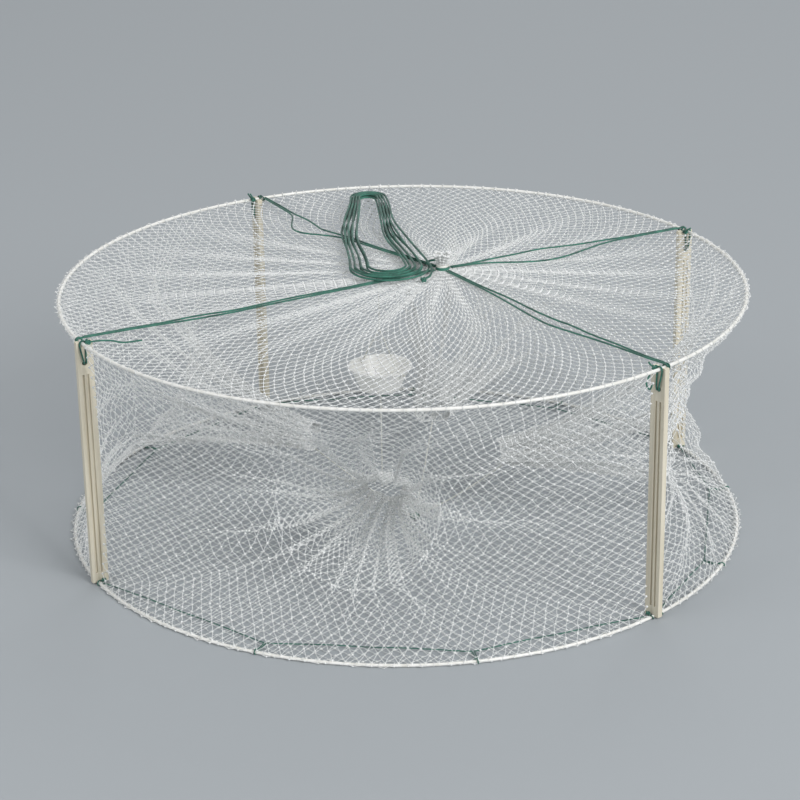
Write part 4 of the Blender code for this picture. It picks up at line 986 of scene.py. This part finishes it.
for corner, degrees in UPRIGHT_ANGLES.items():
    over = LASHING_OVER
    arch = np.array([
        (LASHING_HOLE_INSET - LASHING_HALF_HOLE, -LASHING_HOLE_DROP), (-over, -1.3 * over), (-over, 0),
        (-0.72 * over, 0.72 * over), (0, over), (0.72 * over, 0.72 * over), (over, 0), (over, -1.3 * over),
        (LASHING_HOLE_INSET + LASHING_HALF_HOLE, -LASHING_HOLE_DROP),
    ])
    angle = math.radians(degrees)
    axes = np.array([polar(1, angle, 0), polar(1, angle + np.pi / 2, 0), (0, 0, 1)])
    wire = polar(HOOP_RADIUS, angle, TOP_WIRE_Z)
    there = np.column_stack([arch[:, 0], np.full(len(arch), LASHING_OFFSET), arch[:, 1]])
    back = there[::-1] * (1, -1, 1)
    loop = np.concatenate([there, back])
    loop = smooth_route(np.concatenate([loop, loop[:1]]), 4)[:-1]
    slanted = axes[0] * 0.7 + axes[1] * 0.7
    lashing = tube(loop @ axes + wire, LASHING_RADIUS, 8, slanted, closed=True)
    add_piece("lashing_cord_" + corner, lashing, green_cord, "upright_" + corner,
              ["lashing_" + corner])
    aside = -np.sign((np.array([*GATHER_PLACE, TOP_WIRE_Z]) - wire) @ axes[1])
    knot_axes = np.array([-axes[0], aside * axes[1], axes[2]])
    knot_middle = np.array(LASHING_KNOT) @ knot_axes + wire
    shapes = [tied_knot(knot_middle, LASHING_KNOT_RADIUS, LASHING_KNOT_HEIGHT, LASHING_RADIUS, angle)]
    for end in LASHING_ENDS[corner]:
        loose_end = smooth_route([knot_middle, *(np.array(end) @ knot_axes + wire)], 5)
        shapes.append(tube(loose_end, LASHING_RADIUS, 7, (0.3, 0.2, 1)))
    add_piece("lashing_knot_" + corner, joined(shapes), green_cord, "top")


# The white draw cord that closes the tuft's neck, and below it the green ring that the bridles are tied to.
# Each is two turns of cord, and the second turn lies beside the first.
# Each ring's finish and slot, its cord's radius, and the radius of the ring to the middle of its cord.
RINGS = {
    "bridle_ring": (green_cord, "green_cord", 0.0008, 0.0056),
    "draw_cord": (white_cord, "white_cord", 0.0006, 0.0050),
}
RING_HEIGHTS = {name: box_middle(name)[2] for name in RINGS}
TURNS_APART = 0.0004
TURNS_ABOVE = 0.0007

for name, (finish, slot, cord_radius, ring_radius) in RINGS.items():
    turn = 2 * np.pi * np.arange(120) / 60
    radius = ring_radius + TURNS_APART * np.cos(turn / 2)
    wound = polar(radius, turn, RING_HEIGHTS[name] + TURNS_ABOVE * np.sin(turn / 2))
    wound[:, :2] += GATHER_PLACE
    turns = tube(wound, cord_radius, 8, (0, 0, 1), closed=True)
    add_piece(name + "_turns", turns, finish, "top", [name])


# The bridle: a doubled green cord from the ring to each upright's top, round the wire beside it and back.
# Each lies over the top net with some slack, so its two strands part and meet again on the way.
BRIDLE_RADIUS = 0.0008
BRIDLE_BENDS = {
    "front_left": (-0.142, -0.071),
    "front_right": (0.125, -0.112),
    "back_right": (0.140, 0.081),
    "back_left": (-0.076, 0.154),
}
# How far the near and the far strand swing out, and the shares of their way between which they do.
BRIDLE_SLACK = {
    "front_left": (0.0005, 0.0010, 0.10, 0.95),
    "front_right": (0.0045, 0.0025, 0.10, 0.95),
    "back_right": (0.0200, 0.0065, 0.06, 0.80),
    "back_left": (0.0200, 0.0010, 0.36, 0.785),
}
# How far beside the upright each strand meets the wire, and how far inside the wire it comes down to it.
BRIDLE_NEAR = 0.0057
BRIDLE_FAR = 0.0079
BRIDLE_NEAR_INSIDE = 0.004
BRIDLE_FAR_INSIDE = 0.0062
BRIDLE_WAVE = 0.0009
STRAND_STEPS = 24
RING_REACH = 0.0085
BRIDLE_FALL = 0.018
TOP_NET_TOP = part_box("top_net")[1][2]

for number, (corner, place) in enumerate(BRIDLE_BENDS.items()):
    angle = math.radians(UPRIGHT_ANGLES[corner])
    wire = polar(HOOP_RADIUS, angle, TOP_WIRE_Z)
    out = polar(1, angle, 0)
    along = polar(1, angle + np.pi / 2, 0)
    gather = np.array([*GATHER_PLACE, TOP_WIRE_Z])
    along = along * np.sign((gather - wire) @ along)
    over = WIRE_RADIUS + GAP + BRIDLE_RADIUS
    lift = np.array((0, 0, TOP_NET_TOP - TOP_WIRE_Z + GAP + BRIDLE_RADIUS))
    bend = np.array([*place, TOP_WIRE_Z]) + lift
    away = unit(bend - gather - lift)
    across = np.cross((0, 0, 1), away)
    across = across * np.sign(across @ along)
    start = gather + RING_REACH * away + lift
    near_slack, far_slack, first, last = BRIDLE_SLACK[corner]

    def strand(side, slack, near):
        """One strand from the ring by the bend to near the wire.

        It swings out by slack sin(pi t)**2, t from 0 to 1 between the first and last share of its way.
        """
        share = np.linspace(0, 1, STRAND_STEPS + 1)[:, None]
        end = wire - BRIDLE_FALL * out + lift + near * along
        to_bend, past_bend = 2 * share, 2 * share - 1
        straight = np.where(share < 0.5, start + to_bend * (bend - start), bend + past_bend * (end - bend))
        swing = slack * np.sin(np.pi * np.clip((share - first) / (last - first), 0, 1))**2
        wave = BRIDLE_WAVE * np.sin(np.pi * share) * (1 + np.sin((17 + 5 * side) * share + 2 * number))
        beside = (BRIDLE_FAR - BRIDLE_NEAR) / 2 * (1 - np.maximum(0, past_bend))
        return straight + side * (beside + swing + wave) * across

    def by_wire(inwards, sideways, height):
        """A point so far inwards from the wire's middle at the upright, sideways along it and above it."""
        return wire - inwards * out + sideways * along + np.array((0, 0, height))

    middle = (BRIDLE_NEAR + BRIDLE_FAR) / 2
    round_wire = [
        by_wire(BRIDLE_NEAR_INSIDE, BRIDLE_NEAR, lift[2] * 1.1),
        by_wire(0, BRIDLE_NEAR, over),
        by_wire(-0.72 * over, BRIDLE_NEAR, 0.72 * over),
        by_wire(-over, BRIDLE_NEAR, 0),
        by_wire(-0.72 * over, BRIDLE_NEAR, -0.72 * over),
        by_wire(0, middle, -over),
        by_wire(0.72 * over, BRIDLE_FAR, -0.72 * over),
        by_wire(over * 1.2, BRIDLE_FAR, 0),
        by_wire(BRIDLE_FAR_INSIDE, BRIDLE_FAR, lift[2]),
    ]
    near_strand, far_strand = strand(-1, near_slack, BRIDLE_NEAR), strand(1, far_slack, BRIDLE_FAR)
    route = np.concatenate([near_strand, round_wire, far_strand[::-1]])
    doubled = tube(smooth_route(route, 4), BRIDLE_RADIUS, 7, (0.03, 0.02, 1))
    add_piece("bridle_cord_" + corner, doubled, green_cord, "top", ["bridle_" + corner])


# The haul cord, 2 mm thick and put away on top: a lead from the ring, a hank of long turns and an end knot.
# The hank is wide in front and narrow behind, one cord that winds in and then out again a layer higher.
HAUL_RADIUS = 0.0010
LEAD_BENDS = ((0.0005, 0.0115), (-0.0035, 0.0165), (-0.0095, 0.0165), (-0.0138, 0.0115))
LEAD_CLIMBS = (0.15, 1, 1, 1)
HANK_LOOPS = 8
HANK_FRONT = np.array((-0.012, 0.031))
HANK_BACK = np.array((-0.032, 0.243))
HANK_FRONT_RADIUS = 0.036
HANK_BACK_RADIUS = 0.0178
HANK_FRONT_PITCH = 0.0052
HANK_BACK_PITCH = 0.0027
HANK_LAYER_PITCH = 0.0026
HANK_BOW = 0.007
HANK_WAVE = 0.0016
HANK_SHIFT = 0.0026
HANK_SHIFT_DOWN = np.array((-0.6, 0.8))
HANK_SHIFT_UP = np.array((-0.95, -0.3))
HANK_Z = TOP_NET_TOP + 2 * GAP + 2 * BRIDLE_RADIUS + HAUL_RADIUS
FRONT_STEPS = 9
RUN_STEPS = 4
BACK_STEPS = 6
TURN_STEPS = FRONT_STEPS + BACK_STEPS + 2 * RUN_STEPS
TAIL_BENDS = ((0.0262, 0.018), (0.0245, 0.009))
TAIL_DROPS = (0.55, 0.12)
END_KNOT_PLACE = np.array((0.0185, -0.001))
END_KNOT_RADIUS = 0.0030
END_KNOT_HEIGHT = 0.0044
END_KNOT_CORD_RADIUS = 0.9 * HAUL_RADIUS
END_KNOT_Z = TOP_NET_TOP + GAP + 0.47 * END_KNOT_HEIGHT
FINE_STEPS = 3


def hank_point(turns):
    """Points of the hank after some turns, as a loose belt round its two ends, clockwise from above.

    The turns spiral in to the middle turn, and out again HANK_LAYER_PITCH higher. They lie further apart in
    front than behind. Both runs bow to the left by HANK_BOW sin(pi s)**2, s their share of the way back, and
    wave to the right of that by HANK_WAVE sin(2.6 pi s + 0.6 turns) sin(pi s)**2. Each layer shifts sideways
    in front by HANK_SHIFT sin(pi of its own turns' share).
    """
    turns = np.asarray(turns, dtype=float)
    behind = unit(HANK_BACK - HANK_FRONT)
    right = np.array((behind[1], -behind[0]))
    lean = math.asin((HANK_FRONT_RADIUS - HANK_BACK_RADIUS) / np.linalg.norm(HANK_BACK - HANK_FRONT))
    half = HANK_LOOPS / 2
    inwards = np.minimum(turns, HANK_LOOPS - turns)
    step = TURN_STEPS * (turns % 1)

    def on_end(middle, reach, angle):
        """Points round one end, at an angle from the hank's right."""
        angle = np.broadcast_to(angle, turns.shape)[:, None]
        return middle + reach[:, None] * (np.cos(angle) * right + np.sin(angle) * behind)

    def on_front(angle):
        """Points round the front end."""
        return on_end(HANK_FRONT, HANK_FRONT_RADIUS - HANK_FRONT_PITCH * inwards, angle)

    def on_back(angle):
        """Points round the back end."""
        return on_end(HANK_BACK, HANK_BACK_RADIUS - HANK_BACK_PITCH * inwards, angle)

    stage_ends = (FRONT_STEPS, FRONT_STEPS + RUN_STEPS, TURN_STEPS - RUN_STEPS)
    stages = [step < end for end in stage_ends]
    shares = [0 * step, (step - FRONT_STEPS) / RUN_STEPS, 1 + 0 * step]
    share = np.select(stages, shares, (TURN_STEPS - step) / RUN_STEPS)
    along = share[:, None]
    turned_by = (step - FRONT_STEPS - RUN_STEPS) / BACK_STEPS
    front = on_front(lean - (math.pi + 2 * lean) * step / FRONT_STEPS)
    run_out = on_front(math.pi - lean) + along * (on_back(math.pi - lean) - on_front(math.pi - lean))
    back = on_back(math.pi - lean - (math.pi - 2 * lean) * turned_by)
    run_home = on_front(lean) + along * (on_back(lean) - on_front(lean))
    flat = np.select([stage[:, None] for stage in stages], [front, run_out, back], run_home)
    wave = HANK_WAVE * np.sin(2.6 * math.pi * share + 0.6 * turns) - HANK_BOW
    flat += (np.sin(math.pi * share)**2 * wave)[:, None] * right
    way = np.where((turns < half)[:, None], HANK_SHIFT_DOWN, HANK_SHIFT_UP)
    flat += ((1 - share) * HANK_SHIFT * np.sin(math.pi * (turns % half) / half))[:, None] * way
    climbed = np.clip((turns - half) * TURN_STEPS / RUN_STEPS + 1, 0, 1)
    return np.column_stack([flat, HANK_Z + HANK_LAYER_PITCH * climbed])


ring_z = RING_HEIGHTS["bridle_ring"]
gather = np.array([*GATHER_PLACE, ring_z])
coils = hank_point(np.arange(TURN_STEPS * HANK_LOOPS * FINE_STEPS + 1) / (TURN_STEPS * FINE_STEPS))
run_in, run_out = unit(coils[1] - coils[0]), unit(coils[-1] - coils[-2])
climb = HANK_Z - ring_z
lead = [gather + (0, RING_REACH - HAUL_RADIUS, 0)]
lead += [gather + (x, y, climb * share) for (x, y), share in zip(LEAD_BENDS, LEAD_CLIMBS)]
lead += [coils[0] - 2 * HAUL_RADIUS * run_in]
knot_middle = np.array([*END_KNOT_PLACE, END_KNOT_Z])
towards = unit(np.array([*TAIL_BENDS[-1], END_KNOT_Z]) - knot_middle)
leaving = coils[-1] + 8 * HAUL_RADIUS * run_out
drop = leaving[2] - END_KNOT_Z
tail = [leaving]
tail += [np.array([x, y, END_KNOT_Z + drop * share]) for (x, y), share in zip(TAIL_BENDS, TAIL_DROPS)]
tail += [knot_middle + (END_KNOT_RADIUS + GAP + 3 * HAUL_RADIUS) * towards]
tail += [knot_middle + 0.6 * END_KNOT_RADIUS * towards]
route = np.concatenate([smooth_route(lead, 5), coils, smooth_route(tail, 5)])
haul_cord = add_piece("haul_cord", tube(route, HAUL_RADIUS, 8, (0, 0, 1)), green_cord, "top",
                      ["haul_cord_lead", "haul_cord_hank"])
knot = tied_knot(knot_middle, END_KNOT_RADIUS, END_KNOT_HEIGHT, END_KNOT_CORD_RADIUS)
end_knot = add_piece("haul_cord_tied_knot", knot, green_cord, "top", ["haul_cord_end_knot"])


# The bait cup: a thin white polypropylene tub with a lip, hung by a cord through two holes in its rim.
# It hangs on a white line from the top net, and the same line runs on down to the bottom net.
BAIT_LINE_RADIUS = 0.0006
BAIL_ANGLE = -46.0
BAIL_OUTSIDE = 0.0305
BAIL_INSIDE = 0.0246
BAIL_TURN_IN = 0.0012
BAIL_TURN_UP = 0.0018
BAIL_HALF_GAP = 0.0012
CUP_HOLE_DROP = 0.003
BAIL_KNOT_RADIUS = 0.0017
BAIL_KNOT_HEIGHT = 0.0026
STOPPER_RADIUS = 0.0028
STOPPER_HEIGHT = 0.0038
STOPPER_CORD_RADIUS = BAIT_LINE_RADIUS * 1.2
STOPPER_DROP = 0.002

# The moulded plastic is smooth and thin enough for light to come through, and clouded in spots of 8 mm.
cup_plastic, tree, shader = new_material(
    "white_polypropylene_cup", Base_Color=linear("#F4F3EE"), Roughness=0.3, IOR=1.49,
    Subsurface_Weight=0.6, Subsurface_Radius=(0.01, 0.01, 0.009), Subsurface_Scale=0.6,
)
place = add_node(tree, "TexCoord")
haze = add_node(tree, "TexNoise", {"Vector": place.outputs["Object"], "Scale": 120.0, "Detail": 3.0})
colour_by(tree, shader, haze.outputs["Fac"], "#ECEBE4", "#FAF9F5")
eased_copy("bait_cup", cup_plastic)

bail_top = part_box("bait_bail")[1][2] - BAIT_LINE_RADIUS
cup_low, cup_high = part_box("bait_cup")
cup_middle = np.array([*CUP_PLACE, cup_low[2]])
bail_way = polar(1, math.radians(BAIL_ANGLE), 0)
hole_z = np.array((0, 0, cup_high[2] - cup_low[2] - CUP_HOLE_DROP))
legs = [
    (BAIL_OUTSIDE, 0), (BAIL_INSIDE, 0), (BAIL_INSIDE - BAIL_TURN_IN, BAIL_TURN_UP),
    (BAIL_HALF_GAP, bail_top - cup_middle[2] - hole_z[2]),
]
leg_points = [[cup_middle + hole_z + side * x * bail_way + (0, 0, z) for x, z in legs] for side in (1, -1)]
bail = smooth_route([*leg_points[0], *leg_points[1][::-1]], 6)
shapes = [tube(bail, BAIT_LINE_RADIUS, 8, np.cross(bail_way, (0, 0, 1)))]
for end in (leg_points[0][0], leg_points[1][0]):
    shapes.append(tied_knot(end, BAIL_KNOT_RADIUS, BAIL_KNOT_HEIGHT, BAIT_LINE_RADIUS))
add_piece("bait_bail_cord", joined(shapes), white_cord, "bait_line_upper", ["bait_bail"])

stopper_low, stopper_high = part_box("bait_line_stopper")
stub_top = np.array([*CUP_PLACE, stopper_high[2] - STOPPER_DROP])
stub = tube(np.linspace([*CUP_PLACE, stopper_low[2]], stub_top, 6), BAIT_LINE_RADIUS, 8, (1, 0, 0))
knot = tied_knot(stub_top, STOPPER_RADIUS, STOPPER_HEIGHT, STOPPER_CORD_RADIUS)
add_piece("bait_line_tied_stopper", joined([stub, knot]), white_cord, "bait_cup",
          ["bait_line_stopper"])

for node in ("bait_line_lower", "bait_line_upper"):
    low, high = (np.array(corner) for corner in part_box(node))
    middle = (low + high) / 2
    path = np.linspace([middle[0], middle[1], low[2]], [middle[0], middle[1], high[2]], 12)
    line = tube(path, BAIT_LINE_RADIUS, 8, (1, 0, 0))
    add_piece(node + "_cord", line, white_cord, node, [node])
